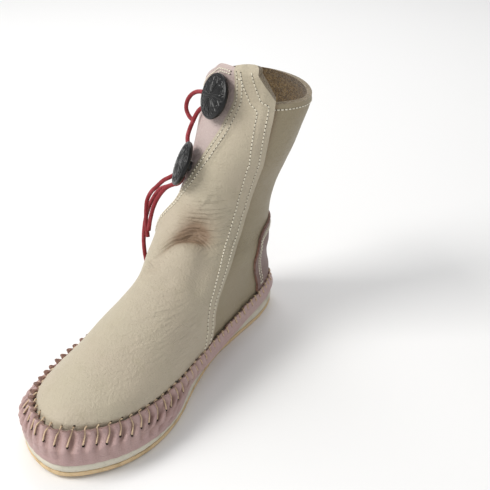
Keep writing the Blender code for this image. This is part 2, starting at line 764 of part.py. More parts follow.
def button(name, around, section, turn, tilt, plastic):
    """Domed button on a shank that stands on the flap."""
    place = np.array([around])
    level = np.array([section])
    normal = form_normal(place, level)[0]
    lean = math.radians(max(abs(turn), abs(tilt)))
    clearance = LAY_GAP + FLAP_LEATHER + 2.0 * GAP + SHANK_DIAMETER / 2.0 * math.sin(lean)
    foot = form(place, level)[0] + normal * clearance
    axis = button_axis(normal, turn, tilt)
    radius = BUTTON_DIAMETER / 2.0
    profile = [(0.0, 0.0), (SHANK_DIAMETER / 2.0, 0.0), (SHANK_DIAMETER / 2.0, SHANK_LENGTH)]
    profile += [(radius - BUTTON_CHAMFER, SHANK_LENGTH), (radius, SHANK_LENGTH + BUTTON_RIM / 2.0)]
    for step in range(DOME_STEPS + 1):
        angle = step / DOME_STEPS * math.pi / 2.0
        height = SHANK_LENGTH + BUTTON_RIM + (BUTTON_DOME - BUTTON_RIM) * math.sin(angle)
        profile.append(((radius - BUTTON_STEP) * math.cos(angle), height))
    sides = BUTTON_SIDES
    points = []
    rings = []
    for distance, height in profile:
        if distance < TINY:
            rings.append([len(points)])
            points.append((0.0, 0.0, height))
            continue
        rings.append(list(range(len(points), len(points) + sides)))
        for side in range(sides):
            angle = 2.0 * math.pi * side / sides
            points.append((distance * math.cos(angle), distance * math.sin(angle), height))
    faces = []
    for low, high in zip(rings[:-1], rings[1:]):
        for side in range(sides):
            after = (side + 1) % sides
            pairs = ((low, side), (low, after), (high, after), (high, side))
            corners = [ring[index % len(ring)] for ring, index in pairs]
            corners = list(dict.fromkeys(corners))
            if len(corners) > 2:
                faces.append(tuple(corners))
    turned = Vector(axis).to_track_quat("Z", "Y").to_matrix()
    placed = [np.array(turned @ Vector(point)) + foot for point in points]
    return new_object(name, placed, faces, plastic)


def thong(name, route, leather):
    """Round thong along a smooth curve through its route."""
    route = np.array(route)
    near = np.concatenate([[2 * route[0] - route[1]], route, [2 * route[-1] - route[-2]]])
    fine = []
    for index in range(1, len(near) - 2):
        for sample in range(ROUTE_SAMPLES):
            share = sample / ROUTE_SAMPLES
            fine.append(spline(near[index - 1], near[index], near[index + 1], near[index + 2], share))
    fine.append(route[-1])
    fine = np.array(fine)
    length = np.linalg.norm(np.diff(fine, axis=0), axis=1).sum()
    count = max(int(length * TUBE_POINTS_PER_METRE), 6)
    points = resample(fine, np.linspace(0.0, 1.0, count))
    curve = bpy.data.curves.new(name, "CURVE")
    curve.dimensions = "3D"
    curve.bevel_depth = THONG_DIAMETER / 2.0
    curve.bevel_resolution = 2
    curve.use_fill_caps = True
    line = curve.splines.new("POLY")
    line.points.add(len(points) - 1)
    for point, target in zip(line.points, points):
        point.co = (*target, 1.0)
    curve.materials.append(leather)
    piece = bpy.data.objects.new(name, curve)
    bpy.context.scene.collection.objects.link(piece)
    return piece


def build():
    """The whole boot."""
    for old in list(bpy.data.objects):
        bpy.data.objects.remove(old, do_unlink=True)
    slab(
        "outsole",
        ((-SOLE_EDGE, 0.0), (0.0, SOLE_EDGE), (0.0, OUTSOLE)),
        material("tan_rubber", (0.52, 0.42, 0.24), 0.75),
    )
    low = OUTSOLE + GAP
    slab(
        "midsole",
        (
            (0.0, low),
            (FOAM_BULGE, low + MIDSOLE / 2.0),
            (-FOAM_BULGE, SOLE_TOP - SOLE_EDGE),
            (-SOLE_EDGE, SOLE_TOP),
        ),
        material("white_foam", (0.60, 0.60, 0.54), 0.7),
    )
    moccasin_wall(material("pink_leather", (0.52, 0.35, 0.34), 0.5))
    insole(material("suede", (0.30, 0.20, 0.14), 0.9))
    upper(material("cream_leather", (0.56, 0.50, 0.37), 0.5))
    heel_counter(material("counter_leather", (0.50, 0.34, 0.33), 0.5))
    button_flap(material("flap_leather", (0.60, 0.50, 0.47), 0.5))
    for name, *place in BUTTONS:
        button(name, *place, material(name + "_black", (0.02, 0.022, 0.025), 0.35))
    for name, route in THONGS.items():
        thong(name, route, material(name + "_red", (0.35, 0.035, 0.05), 0.55))


build()
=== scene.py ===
"""Looks of the right moccasin boot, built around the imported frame: leather with its creases, the gathered and
laced wall, seams, buttons, thongs and the suede inside.
"""
import math

import bpy
import numpy as np
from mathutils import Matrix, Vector


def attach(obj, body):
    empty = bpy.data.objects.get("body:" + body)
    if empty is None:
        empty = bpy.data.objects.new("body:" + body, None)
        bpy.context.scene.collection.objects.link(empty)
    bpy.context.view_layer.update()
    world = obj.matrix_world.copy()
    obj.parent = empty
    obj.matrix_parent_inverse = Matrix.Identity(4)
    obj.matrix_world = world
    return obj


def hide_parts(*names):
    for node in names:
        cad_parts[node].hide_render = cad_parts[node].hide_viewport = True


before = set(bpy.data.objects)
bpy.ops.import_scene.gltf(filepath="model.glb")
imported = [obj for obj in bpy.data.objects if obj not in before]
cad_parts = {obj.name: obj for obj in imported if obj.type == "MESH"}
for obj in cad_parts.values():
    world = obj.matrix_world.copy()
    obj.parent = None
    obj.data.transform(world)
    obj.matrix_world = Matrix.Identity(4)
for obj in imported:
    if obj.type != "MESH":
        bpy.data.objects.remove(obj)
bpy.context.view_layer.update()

# Driving sizes of the foot and the sole, in metres
SOLE_LENGTH = 0.2555
BALL_WIDTH = 0.089
HEEL_WIDTH = 0.062
HEEL_CENTRE = 0.031
OUTSOLE = 0.0030
MIDSOLE = 0.0055
TOE_SPRING = 0.0020
SPRING_START = 0.135
LEDGE_TOE = 0.0028
LEDGE_SIDE = 0.0012
INSOLE = 0.0020
INSOLE_CLEARANCE = 0.0006

# Driving sizes of the leather
LEATHER = 0.0020
LAP = 0.0013
LAP_RISE = 0.35
WALL_LEATHER = 0.0018
WALL_BULGE = 0.0065
WALL_WIDEST = 0.52
WALL_LOW = 0.17
WALL_LOW_BULGE = 0.55
WALL_LOW_LEDGE = 0.30
SEAM_TOE_HEIGHT = 0.0250
SEAM_HEEL_HEIGHT = 0.0205
MARGIN_OUT = 0.0017
MARGIN_DOWN = 0.0042
COUNTER_LEATHER = 0.0016
FLAP_LEATHER = 0.0016

# Driving sizes of the shaft
SHAFT_HEIGHT = 0.187
INSTEP_WIDTH = 0.064
COLLAR_WIDTH = 0.076
FRONT_RIM = 0.1925
REAR_RIM = 0.1665

# Driving sizes of the buttons and thongs
BUTTON_DIAMETER = 0.031
BUTTON_DOME = 0.0050
BUTTON_RIM = 0.0022
SHANK_DIAMETER = 0.0070
SHANK_LENGTH = 0.0042
THONG_DIAMETER = 0.0030

# Clearances: between pieces that touch, under a sheet that lies on the upper, and under the wall's edge
GAP = 0.0004
LAY_GAP = 0.0008
WALL_GAP = 0.0010

# Fineness of the rings
OUTLINE_SAMPLES = 24
RING_SAMPLES = 240
ROWS_PER_SECTION = 8

# Section from which the upper's rows bend to the rim
RIM_START = 12.0

# Share of the sole's length over which the outline's width turns from the heel's into the ball's
BLEND_START = 0.30
BLEND_END = 0.60

# Outline of the sole from the heel over the inner side to the toe and back.
# across: share of the width there, inner side positive. along: share of the length from the heel.
SOLE_OUTLINE = (
    (0.000, 0.000), (0.347, 0.033), (0.477, 0.141), (0.450, 0.294), (0.385, 0.411), (0.374, 0.553),
    (0.464, 0.705), (0.458, 0.830), (0.340, 0.930), (0.103, 0.998), (-0.185, 0.971), (-0.438, 0.878),
    (-0.524, 0.705), (-0.517, 0.549), (-0.558, 0.392), (-0.516, 0.157), (-0.358, 0.034),
)

# Outline of the laced seam in the same columns
SEAM_OUTLINE = (
    (0.000, 0.014), (0.306, 0.037), (0.460, 0.141), (0.500, 0.294), (0.463, 0.411), (0.396, 0.553),
    (0.410, 0.697), (0.376, 0.815), (0.270, 0.905), (0.056, 0.960), (-0.157, 0.940), (-0.348, 0.862),
    (-0.433, 0.713), (-0.448, 0.549), (-0.514, 0.392), (-0.476, 0.157), (-0.323, 0.043),
)

# How far the wall stands out over the sole's outline.
# along: share of the length from the heel. inner, outer: shares of WALL_BULGE on the two sides.
WALL_BELLY = (
    (0.00, 0.30, 0.30), (0.15, 0.35, 0.30), (0.30, 0.75, 0.35), (0.42, 1.00, 0.40), (0.55, 0.70, 0.40),
    (0.70, 0.30, 0.25), (0.85, 0.15, 0.30), (1.00, 0.15, 0.15),
)

# Sections of the upper above the seam, from the toe to the collar, a row for each.
# front_x, back_x: middle of the section at its front and back, shares of INSTEP_WIDTH, inner side positive.
# front_y, back_y: shares of SOLE_LENGTH from the back of the heel towards the toe.
# front_z, back_z: shares of SHAFT_HEIGHT.
# inner, outer: half widths, shares of INSTEP_WIDTH below the ankle and of COLLAR_WIDTH at the collar.
# round: 0 follows the seam's outline, 1 is an oval.
# lap, flap, free: places round the section, as shares of it from the front, of the lap on the inner side,
# of the flap's sewn edge and of its free edge on the outer side.
SECTIONS = (
    # front_x, back_x, front_y, back_y, front_z, back_z, inner, outer, round, lap, flap, free
    (0.015, 0.000, 0.925, 0.010, 0.177, 0.134, 0.550, 0.535, 0.08, 0.250, -0.262, -0.345),
    (0.000, 0.000, 0.855, 0.004, 0.217, 0.155, 0.540, 0.460, 0.25, 0.236, -0.258, -0.345),
    (0.000, 0.000, 0.765, 0.002, 0.260, 0.179, 0.515, 0.415, 0.45, 0.213, -0.252, -0.345),
    (0.000, 0.000, 0.663, 0.002, 0.302, 0.206, 0.500, 0.365, 0.65, 0.190, -0.243, -0.345),
    (0.000, 0.000, 0.561, 0.002, 0.345, 0.235, 0.490, 0.365, 0.85, 0.178, -0.228, -0.345),
    (-0.015, 0.015, 0.467, 0.002, 0.385, 0.267, 0.480, 0.480, 1.00, 0.170, -0.205, -0.342),
    (-0.030, 0.030, 0.388, 0.003, 0.422, 0.305, 0.445, 0.545, 1.00, 0.168, -0.175, -0.335),
    (-0.030, 0.045, 0.345, 0.002, 0.465, 0.358, 0.435, 0.515, 1.00, 0.172, -0.135, -0.325),
    (0.000, 0.060, 0.318, 0.000, 0.529, 0.428, 0.425, 0.395, 1.00, 0.179, -0.095, -0.315),
    (0.060, 0.075, 0.294, -0.008, 0.604, 0.503, 0.435, 0.380, 1.00, 0.170, -0.062, -0.305),
    (0.155, 0.075, 0.267, -0.024, 0.690, 0.588, 0.480, 0.405, 1.00, 0.150, -0.042, -0.290),
    (0.280, 0.060, 0.235, -0.046, 0.786, 0.684, 0.510, 0.460, 1.00, 0.113, -0.034, -0.270),
    (0.420, 0.015, 0.208, -0.073, 0.888, 0.820, 0.545, 0.495, 1.00, 0.077, -0.042, -0.250),
    (0.565, -0.045, 0.225, -0.100, 1.000, 0.935, 0.500, 0.485, 1.00, 0.050, -0.066, -0.232),
)
SQUARENESS = 2.0
BACK_SQUARENESS = 2.2
WIDEST = 0.48
COLLAR_START = 0.45

# Height of the front panel's top edge across the panel.
# across: share of the panel from the flap seam to the lap. rise: share of the way from REAR_RIM to FRONT_RIM.
FRONT_EDGE = (
    (0.00, 0.87), (0.12, 0.93), (0.25, 0.98), (0.37, 1.00), (0.46, 0.98), (0.53, 0.89), (0.60, 0.71),
    (0.75, 0.47), (0.88, 0.27), (1.00, 0.10),
)

# Heel counter over the centre back. section: height, in sections. reach: half width, share of the ring.
COUNTER = (
    (0.55, 0.108), (1.50, 0.112), (3.00, 0.133), (4.00, 0.158), (5.00, 0.188), (6.00, 0.210),
    (6.70, 0.210), (7.30, 0.190), (7.70, 0.155), (8.00, 0.095), (8.12, 0.045),
)

# Button flap: the sections where its foot starts at the sewn edge and ends at the free edge, the share of
# its width that the foot takes to climb, and the share of its width and the drop, in metres, of its corners
FLAP_FOOT_SEWN = 5.8
FLAP_FOOT_FREE = 8.7
FLAP_FOOT_CLIMB = 0.5
FLAP_CORNER = 0.30
FLAP_CORNER_DROP = 0.008
FLAP_CORNER_ROUND = 0.98

# Height of the flap's top edge. across: share of its width from the sewn edge. height: share of SHAFT_HEIGHT.
FLAP_TOP = (
    (0.00, 1.006), (0.10, 1.006), (0.22, 1.004), (0.36, 0.999), (0.48, 0.975), (0.62, 0.952),
    (0.75, 0.925), (1.00, 0.885),
)

# Button places. around: share of the ring from the front. section: height, in sections. turn and tilt:
# degrees that the button's axis leans away from the flap's normal, to the outer side and up, as it hangs.
BUTTONS = (
    # name, around, section, turn, tilt
    ("button_upper", -0.078, 13.0, 11.0, 8.0),
    ("button_lower", -0.067, 10.5, 14.0, -2.0),
)

# Routes of the red thongs in metres: from under a button, out over the flap's free side. The places were
# picked on the photo and the flap, and most coordinates were worked out from them by a program.
THONGS = {
    "thong_upper_loop": (
        (-0.0021, -0.0178, 0.1657), (-0.0069, -0.0145, 0.1652), (-0.0119, -0.0110, 0.1646),
        (-0.0186, -0.0096, 0.1635), (-0.0239, -0.0086, 0.1604), (-0.0280, -0.0076, 0.1549),
        (-0.0289, -0.0076, 0.1491), (-0.0262, -0.0082, 0.1441), (-0.0219, -0.0092, 0.1419),
    ),
    "thong_between_buttons": (
        (-0.0043, -0.0184, 0.1605), (-0.0097, -0.0165, 0.1566), (-0.0156, -0.0147, 0.1515),
        (-0.0196, -0.0159, 0.1433), (-0.0217, -0.0189, 0.1346), (-0.0196, -0.0226, 0.1286),
        (-0.0172, -0.0274, 0.1247), (-0.0156, -0.0306, 0.1241),
    ),
    "thong_end_front": (
        (-0.0148, -0.0344, 0.1187), (-0.0177, -0.0311, 0.1166), (-0.0214, -0.0280, 0.1133),
        (-0.0256, -0.0286, 0.1095), (-0.0309, -0.0294, 0.1059), (-0.0359, -0.0298, 0.1027),
        (-0.0408, -0.0304, 0.0977), (-0.0454, -0.0314, 0.0927), (-0.0484, -0.0324, 0.0863),
        (-0.0490, -0.0334, 0.0789), (-0.0488, -0.0344, 0.0699), (-0.0474, -0.0354, 0.0591),
    ),
    "thong_end_long": (
        (-0.0160, -0.0358, 0.1144), (-0.0188, -0.0326, 0.1119), (-0.0226, -0.0288, 0.1067),
        (-0.0272, -0.0256, 0.1016), (-0.0339, -0.0246, 0.0973), (-0.0419, -0.0249, 0.0931),
        (-0.0484, -0.0254, 0.0843), (-0.0527, -0.0264, 0.0737), (-0.0550, -0.0274, 0.0625),
        (-0.0556, -0.0284, 0.0514), (-0.0546, -0.0294, 0.0423), (-0.0529, -0.0304, 0.0356),
    ),
    "thong_end_short": (
        (-0.0144, -0.0392, 0.1133), (-0.0169, -0.0388, 0.1089), (-0.0208, -0.0366, 0.1056),
        (-0.0258, -0.0344, 0.1031), (-0.0319, -0.0342, 0.0991), (-0.0372, -0.0356, 0.0919),
        (-0.0405, -0.0374, 0.0838), (-0.0428, -0.0384, 0.0744), (-0.0444, -0.0384, 0.0662),
    ),
}


def smooth_step(value):
    """Ease from 0 to 1."""
    share = np.clip(value, 0.0, 1.0)
    return share * share * (3.0 - 2.0 * share)


def bell(value, width=1.0):
    """1 at 0, falling off on both sides over a width."""
    return np.exp(-((value / width) ** 2))


def unit(vectors):
    """Vectors made one long."""
    return vectors / np.linalg.norm(vectors, axis=-1)[..., None]


def look_up(table, values, column=1):
    """A column of a table at values of its first column."""
    return np.interp(values, [row[0] for row in table], [row[column] for row in table])


def width_at(along):
    """Width that the outline's shares refer to: the heel's, turning into the ball's."""
    share = smooth_step((along - BLEND_START) / (BLEND_END - BLEND_START))
    return HEEL_WIDTH + (BALL_WIDTH - HEEL_WIDTH) * share


def spline(before, start, end, after, share):
    """Catmull-Rom point between start and end."""
    return 0.5 * (
        2.0 * start
        + (end - before) * share
        + (2.0 * before - 5.0 * start + 4.0 * end - after) * share**2
        + (3.0 * start - before - 3.0 * end + after) * share**3
    )


def closed_spline(points):
    """Smooth closed curve through points."""
    near = [np.roll(points, -step, axis=0)[:, None] for step in (-1, 0, 1, 2)]
    return spline(*near, (np.arange(OUTLINE_SAMPLES) / OUTLINE_SAMPLES)[:, None]).reshape(-1, 2)


def smooth_line(route, samples):
    """Smooth curve through the points of a route, with a number of samples between two points."""
    route = np.array(route)
    ends = np.concatenate([[2 * route[0] - route[1]], route, [2 * route[-1] - route[-2]]])
    near = [ends[step : len(ends) - 3 + step, None] for step in range(4)]
    curve = spline(*near, (np.arange(samples) / samples)[:, None])
    return np.concatenate([curve.reshape(-1, route.shape[1]), route[-1:]])


def lengths(line):
    """Length along a line up to each of its points."""
    return np.concatenate([[0.0], np.cumsum(np.linalg.norm(np.diff(line, axis=0), axis=1))])


def at_length(values, length, wanted):
    """Rows of values, given at lengths along a line, at other lengths."""
    return np.stack([np.interp(wanted, length, column) for column in values.T], axis=1)


def resample(points, shares):
    """Points at shares of the length of a line."""
    length = lengths(points)
    return at_length(points, length / length[-1], shares)


def outline(table):
    """Ring of an outline, sampled by arc length from the toe round the inner side to the heel and back."""
    points = [(across * width_at(along), along * SOLE_LENGTH) for across, along in table]
    curve = closed_spline(np.array(points))
    toe = int(np.argmax(curve[:, 1]))
    heel = int(np.argmin(curve[:, 1]))
    count = len(curve)
    inner = curve[(toe - np.arange((toe - heel) % count + 1)) % count]
    outer = curve[(toe + np.arange((heel - toe) % count + 1)) % count]
    shares = np.linspace(0.0, 1.0, RING_SAMPLES // 2 + 1)
    ring = np.concatenate([resample(inner, shares), resample(outer, shares)[-2:0:-1]])
    return np.stack([ring[:, 0], HEEL_CENTRE - ring[:, 1]], axis=1)


def outward(ring):
    """Unit normals of a closed flat ring, pointing out."""
    along = np.roll(ring, -1, axis=0) - np.roll(ring, 1, axis=0)
    return unit(np.stack([along[:, 1], -along[:, 0]], axis=1))


def grown(ring, distance):
    """Ring moved out by a distance, one for all or one for each point."""
    return ring + outward(ring) * np.reshape(distance, (-1, 1))


def spring(y):
    """Lift of the toe."""
    forward = np.clip(-y - SPRING_START, 0.0, None)
    return TOE_SPRING * (forward / (SOLE_LENGTH - HEEL_CENTRE - SPRING_START)) ** 2


def with_height(ring, height):
    """Flat ring as points in space."""
    return np.concatenate([ring, np.broadcast_to(np.reshape(height, (-1, 1)), (len(ring), 1))], axis=1)


SOLE_RING = outline(SOLE_OUTLINE)
SEAM_RING = outline(SEAM_OUTLINE)
SHARE_BACK = (SEAM_RING[:, 1] - SEAM_RING[:, 1].min()) / np.ptp(SEAM_RING[:, 1])
SEAM_HEIGHT = SEAM_TOE_HEIGHT + (SEAM_HEEL_HEIGHT - SEAM_TOE_HEIGHT) * SHARE_BACK
SOLE_TOP = OUTSOLE + GAP + MIDSOLE


def oval():
    """Rounded unit section sampled as the rings are: share of the way back, and share of the half width."""
    angle = np.linspace(0.0, math.pi, 4 * RING_SAMPLES)
    front = angle <= math.pi / 2.0
    power = 2.0 / np.where(front, SQUARENESS, BACK_SQUARENESS)
    swing = np.abs(np.cos(angle)) ** power
    back = np.where(front, WIDEST * (1.0 - swing), WIDEST + (1.0 - WIDEST) * swing)
    return back, np.abs(np.sin(angle)) ** power


def section_ring(row):
    """One section of the upper as a ring of points."""
    front_x, back_x, front_y, back_y, front_z, back_z, inner, outer, roundness = row[:9]
    back, side = oval()
    collar = smooth_step((front_z - COLLAR_START) / (1.0 - COLLAR_START))
    width = INSTEP_WIDTH + (COLLAR_WIDTH - INSTEP_WIDTH) * collar
    front, rear = (
        np.array([x * INSTEP_WIDTH, HEEL_CENTRE - y * SOLE_LENGTH, z * SHAFT_HEIGHT])
        for x, y, z in ((front_x, front_y, front_z), (back_x, back_y, back_z))
    )
    depth = rear[1] - front[1]
    half = np.arange(RING_SAMPLES // 2 + 1)
    sides = []
    for sign, reach in ((1, inner * width), (-1, outer * width)):
        even = resample(np.stack([back * depth, side * reach], axis=1), half / half[-1])
        seam = (sign * half) % RING_SAMPLES
        seam_side = SEAM_RING[seam, 0] / np.abs(SEAM_RING[seam, 0]).max()
        along = (1.0 - roundness) * SHARE_BACK[seam] + roundness * even[:, 0] / depth
        line = front + (rear - front) * along[:, None]
        line[:, 0] += (1.0 - roundness) * seam_side * reach + roundness * sign * even[:, 1]
        sides.append(line)
    return np.concatenate([sides[0], sides[1][-2:0:-1]])


def form_rings():
    """Key rings of the upper's outside: its margin under the wall, the seam, then the sections."""
    seam = with_height(SEAM_RING, SEAM_HEIGHT)
    margin = with_height(grown(SEAM_RING, MARGIN_OUT), SEAM_HEIGHT - MARGIN_DOWN)
    return np.array([margin, seam] + [section_ring(row) for row in SECTIONS])


FORM = form_rings()
MARGIN_SECTION = -1.0
TOP_SECTION = float(len(SECTIONS))
OVER_TOP = 0.5
STEP = 1.0 / RING_SAMPLES
SECTION_STEP = 0.05


def columns_at(around):
    """Columns of a ring on both sides of places, and the share of the way from one to the other."""
    column = np.mod(around, 1.0) * RING_SAMPLES
    left = np.floor(column).astype(int) % RING_SAMPLES
    return left, (left + 1) % RING_SAMPLES, (column - np.floor(column))[..., None]


def at_share(ring, around):
    """Points of a ring at shares of it."""
    left, right, part = columns_at(around)
    return ring[left] * (1.0 - part) + ring[right] * part


def on_rings(rings, around, place):
    """Points of a smooth surface through rings, and the step between two rings. place: 0 on the first."""
    place = np.clip(place, 0.0, len(rings) - 1.0)
    low = np.minimum(np.floor(place).astype(int), len(rings) - 2)
    left, right, part = columns_at(around)
    near = []
    for step in (-1, 0, 1, 2):
        ring = np.clip(low + step, 0, len(rings) - 1)
        near.append(rings[ring, left] * (1.0 - part) + rings[ring, right] * part)
    return spline(*near, (place - low)[..., None]), near[1] - near[0]


def form(around, section):
    """Points of the upper's outside. around: share of the ring from the front, section: -1 to the top.

    Above the top the form goes straight on, for the front panel and the flap, which stand a little higher.
    """
    points, step = on_rings(FORM, around, section + 1.0)
    return points + np.clip(section - TOP_SECTION, 0.0, None)[..., None] * step


def normal_of(surface, around, level):
    """Unit normals of a surface, pointing out."""
    across = surface(around + STEP, level) - surface(around - STEP, level)
    rise = surface(around, level + SECTION_STEP) - surface(around, level - SECTION_STEP)
    return unit(np.cross(across, rise))


def metres_round(around, section):
    """Length of the form's ring for the whole of around, at places."""
    return np.linalg.norm(form(around + STEP, section) - form(around - STEP, section), axis=-1) / (2.0 * STEP)


def rise_per_section(around, section):
    """Length up the form for one section, at places."""
    rise = form(around, section + SECTION_STEP) - form(around, section - SECTION_STEP)
    return np.linalg.norm(rise, axis=-1) / (2.0 * SECTION_STEP)


def metres_at(around, section):
    """Length for the whole of around and length for one section, at one place of the form."""
    place = (np.array([around]), np.array([section]))
    return np.array([metres_round(*place)[0], rise_per_section(*place)[0]])


def section_at(around, height):
    """Section at which a column of the upper reaches a height."""
    steps = np.linspace(0.0, TOP_SECTION + OVER_TOP, int(TOP_SECTION) * ROWS_PER_SECTION + 1)
    result = []
    for place, level in zip(around, height):
        rise = form(np.full_like(steps, place), steps)[:, 2]
        result.append(np.interp(level, np.maximum.accumulate(rise), steps))
    return np.array(result)


def place_of(column, section):
    """Place round the ring of the lap, flap or free edge at a section."""
    return np.interp(section, np.arange(1, len(SECTIONS) + 1), [row[column] for row in SECTIONS])


LAP_COLUMN, FLAP_COLUMN, FREE_COLUMN = 9, 10, 11
LAP_END = place_of(LAP_COLUMN, TOP_SECTION)
FLAP_END = place_of(FLAP_COLUMN, TOP_SECTION)
FREE_END = place_of(FREE_COLUMN, TOP_SECTION)

# Camera of the photograph: fitted to the outlines of the soles, 1000 pixels focal length on 490
CAMERA_PLACE = (0.3052, -0.5783, 0.3716)
CAMERA_VIEW = (-0.40444, 0.79938, -0.44432)
SENSOR = 36.0
LENS = 73.47

# Fineness of the visible meshes. The upper's rows lie closer together where the ankle creases.
PANEL_COLUMNS = 184
QUARTER_COLUMNS = 150
UPPER_ROWS = 262
CREASED = (5.0, 9.4)
CREASED_FINENESS = 2.4
COUNTER_GRID = (56, 72)
FLAP_GRID = (64, 110)
WALL_STEPS = 14
WALL_ROWS = 34
SOLE_SIDES = 480
BUTTON_SIDES = 216
BUTTON_RINGS = 54
SHARP_EDGE = math.radians(50.0)

# Seams: stitch, thread and needle hole, and the rows' distances from the edges, in metres
STITCH_PITCH = 0.0026
STITCH_LENGTH = 0.0022
THREAD = 0.00045
NEEDLE_HOLE = 0.00048
ROW_NEAR = 0.0042
ROW_FAR = 0.0112
FLAP_SEAM_ROWS = (0.0022, 0.0058)
FLAP_ROWS = (0.0030, 0.0058)
COUNTER_ROWS = (0.0036, 0.0058)
RIM_ROW = 0.0050

# Where the rows run, in sections: start of the front panel's rows, drop of the flap's seam below the top, its
# end, and start of the counter's rows. PANEL_ROWS: distance, and share of the top edge where the row ends.
PANEL_ROWS = ((ROW_NEAR, 0.40), (ROW_FAR, 0.12))
ROW_START = 0.45
SEAM_DROP = 0.15
SEAM_END = 5.6
COUNTER_ROW_START = 1.0

# Fineness of the rows
UP_SAMPLES = 160
TOP_SAMPLES = 80
BEND_SAMPLES = 240
EDGE_SAMPLES = 400

# Front panel over the form: how much higher than in the frame its edge stands, how far and over what length
# it climbs over the flap's sewn edge, its clearance there and the swelling between the rows, in metres. The
# rear quarter goes on under it, and the flap starts inside it, by a share of the ring.
LAP_EXTRA = 0.0005
FLAP_OVERLAP = 0.010
FLAP_CLIMB = 0.006
OVER_FLAP = 0.0007
ROW_SWELL = 0.0005
ROW_SWELL_WIDTH = 0.0026
UNDERLAP = 0.0025
# Painted shadow that the lap casts on the rear quarter: its strength, and its fade in metres
LAP_SHADE = 0.8
LAP_SHADE_WIDTH = 0.0016
FLAP_START = 0.002

# Lacing of the moccasin seam, in metres, with shares for its unevenness and slant
LACE_STITCHES = 80
LACE_THREAD = 0.00048
LACE_HOLE = 0.00105
HOLE_LEAST = 0.45
LACE_TOE = 0.0088
LACE_HEEL = 0.0029
LACE_UNEVEN = 0.16
LACE_SLANT = 0.22
LACE_BEND = 0.45
LACE_SAMPLES = 20
VAMP_HOLE_DISTANCE = 0.0027
PUCKER = 0.0005
PUCKER_SECTION = 0.10
PUCKER_WIDTH = 0.22
VAMP_SINK = 0.0012
WALL_SINK = 0.0008

# Toe, as a share of the ring from the front, and the share over which it fades
TOE_END = 0.30
TOE_FADE = 0.18

# Gathered wall, in metres: pleats, raw edge, its sag over the midsole at the toe and its tuck at the waist
PLEAT_DEPTH = 0.0014
CRINKLE = 0.00016
EDGE_RISE = 0.0011
EDGE_CURL = 0.0019
EDGE_TUCK = 0.0006
RUFFLE = 1.7
TOE_SAG_OUT = 0.0034
TOE_SAG_DOWN = 0.0012
WALL_TUCK = 0.0026
WALL_FLOOR = 0.012
# Fold depth in metres at which a fold's painted shade is full, and the share of real brown at the raw lip
FOLD_FULL_SHADE = 0.0042
LIP_STAIN = 0.30
LIP_LEVELS = 0.35
SAG_LEVELS = 1.6
TUCK_LEVELS = 2.2
FOLD_SAMPLES = 13

# Shares of the gathers: their strength at the heel, what the toe adds, the mean and spread of their pull, the
# swelling between them, how far beyond the holes they reach and their painted shade
GATHER_HEEL = 0.55
GATHER_TOE = 0.60
PULL_MEAN = 0.80
PULL_SPREAD = 0.35
GATHER_SWELL = 0.60
GATHER_REACH = 1.9
GATHER_SHADE = 0.45

# Collar's raw edge: its swelling in metres, and the sections over which it comes
RIM_SWELL = 0.0015
RIM_SWELL_SECTIONS = 0.22

# Fine parallel wrinkles along the ankle's crease, and the unevenness of soft leather, in metres
RIPPLE_PITCH = 0.0023
RIPPLE_REACH = 0.0062
RIPPLE_DEPTH = 0.00042
UNEVEN = 0.00035

# How finely wrinkled the rear quarter and the wall are all over, from 0 to 1
QUARTER_WRINKLE = 0.12
WALL_WRINKLE = 0.25

# Unevenness of the sole's cut edges in metres, and the share of its gap at which the heel counter lies
OUTSOLE_RIPPLE = 0.00012
MIDSOLE_RIPPLE = 0.00014
COUNTER_LAY = 0.3

# Relief of the buttons: depth in metres, and the petals of the flower
BUTTON_CUT = 0.00050
PETALS = 10

# Lines of the flower as shares of the button's radius: half width of a line, the circles in its heart and at
# its edge, the dot in each petal with its radius, the leaf's half width, and the ends of vein and flower
FLOWER_LINE = 0.022
HEART = 0.11
OUTER_RING = 0.875
PETAL_DOT = (0.70, 0.045)
LEAF = 0.20
VEIN = (0.16, 0.56)
FLOWER_END = 0.90

# Rounded edge of a button: share of its radius, and height over its rim in metres
BUTTON_EDGE = ((0.975, 0.00075), (0.990, 0.0004), (1.000, -0.0002), (0.985, -0.0011))

# Ends of the tubes, and the dots' half height and two rings (height, reach), as shares of the radius
TUBE_TAPER = 0.35
DOT_HEIGHT = 0.35
DOT_RINGS = ((-0.1, 1.0), (0.21, 0.7))


def linked(name, data):
    """New object in the scene."""
    piece = bpy.data.objects.new(name, data)
    bpy.context.scene.collection.objects.link(piece)
    return piece


def scene_camera():
    """The photograph's camera."""
    data = bpy.data.cameras.new("photo_camera")
    data.lens = LENS
    data.sensor_width = SENSOR
    camera = linked("photo_camera", data)
    camera.location = CAMERA_PLACE
    camera.rotation_euler = Vector(CAMERA_VIEW).to_track_quat("-Z", "Y").to_euler()
    bpy.context.scene.camera = camera


scene_camera()


# Materials. A noise is its repeats a metre, its detail, its roughness and, for a stretched one, its scales.
def srgb(colour):
    """Linear colour of an 8 bit screen colour."""
    return tuple((value / 255.0) ** 2.2 for value in colour)


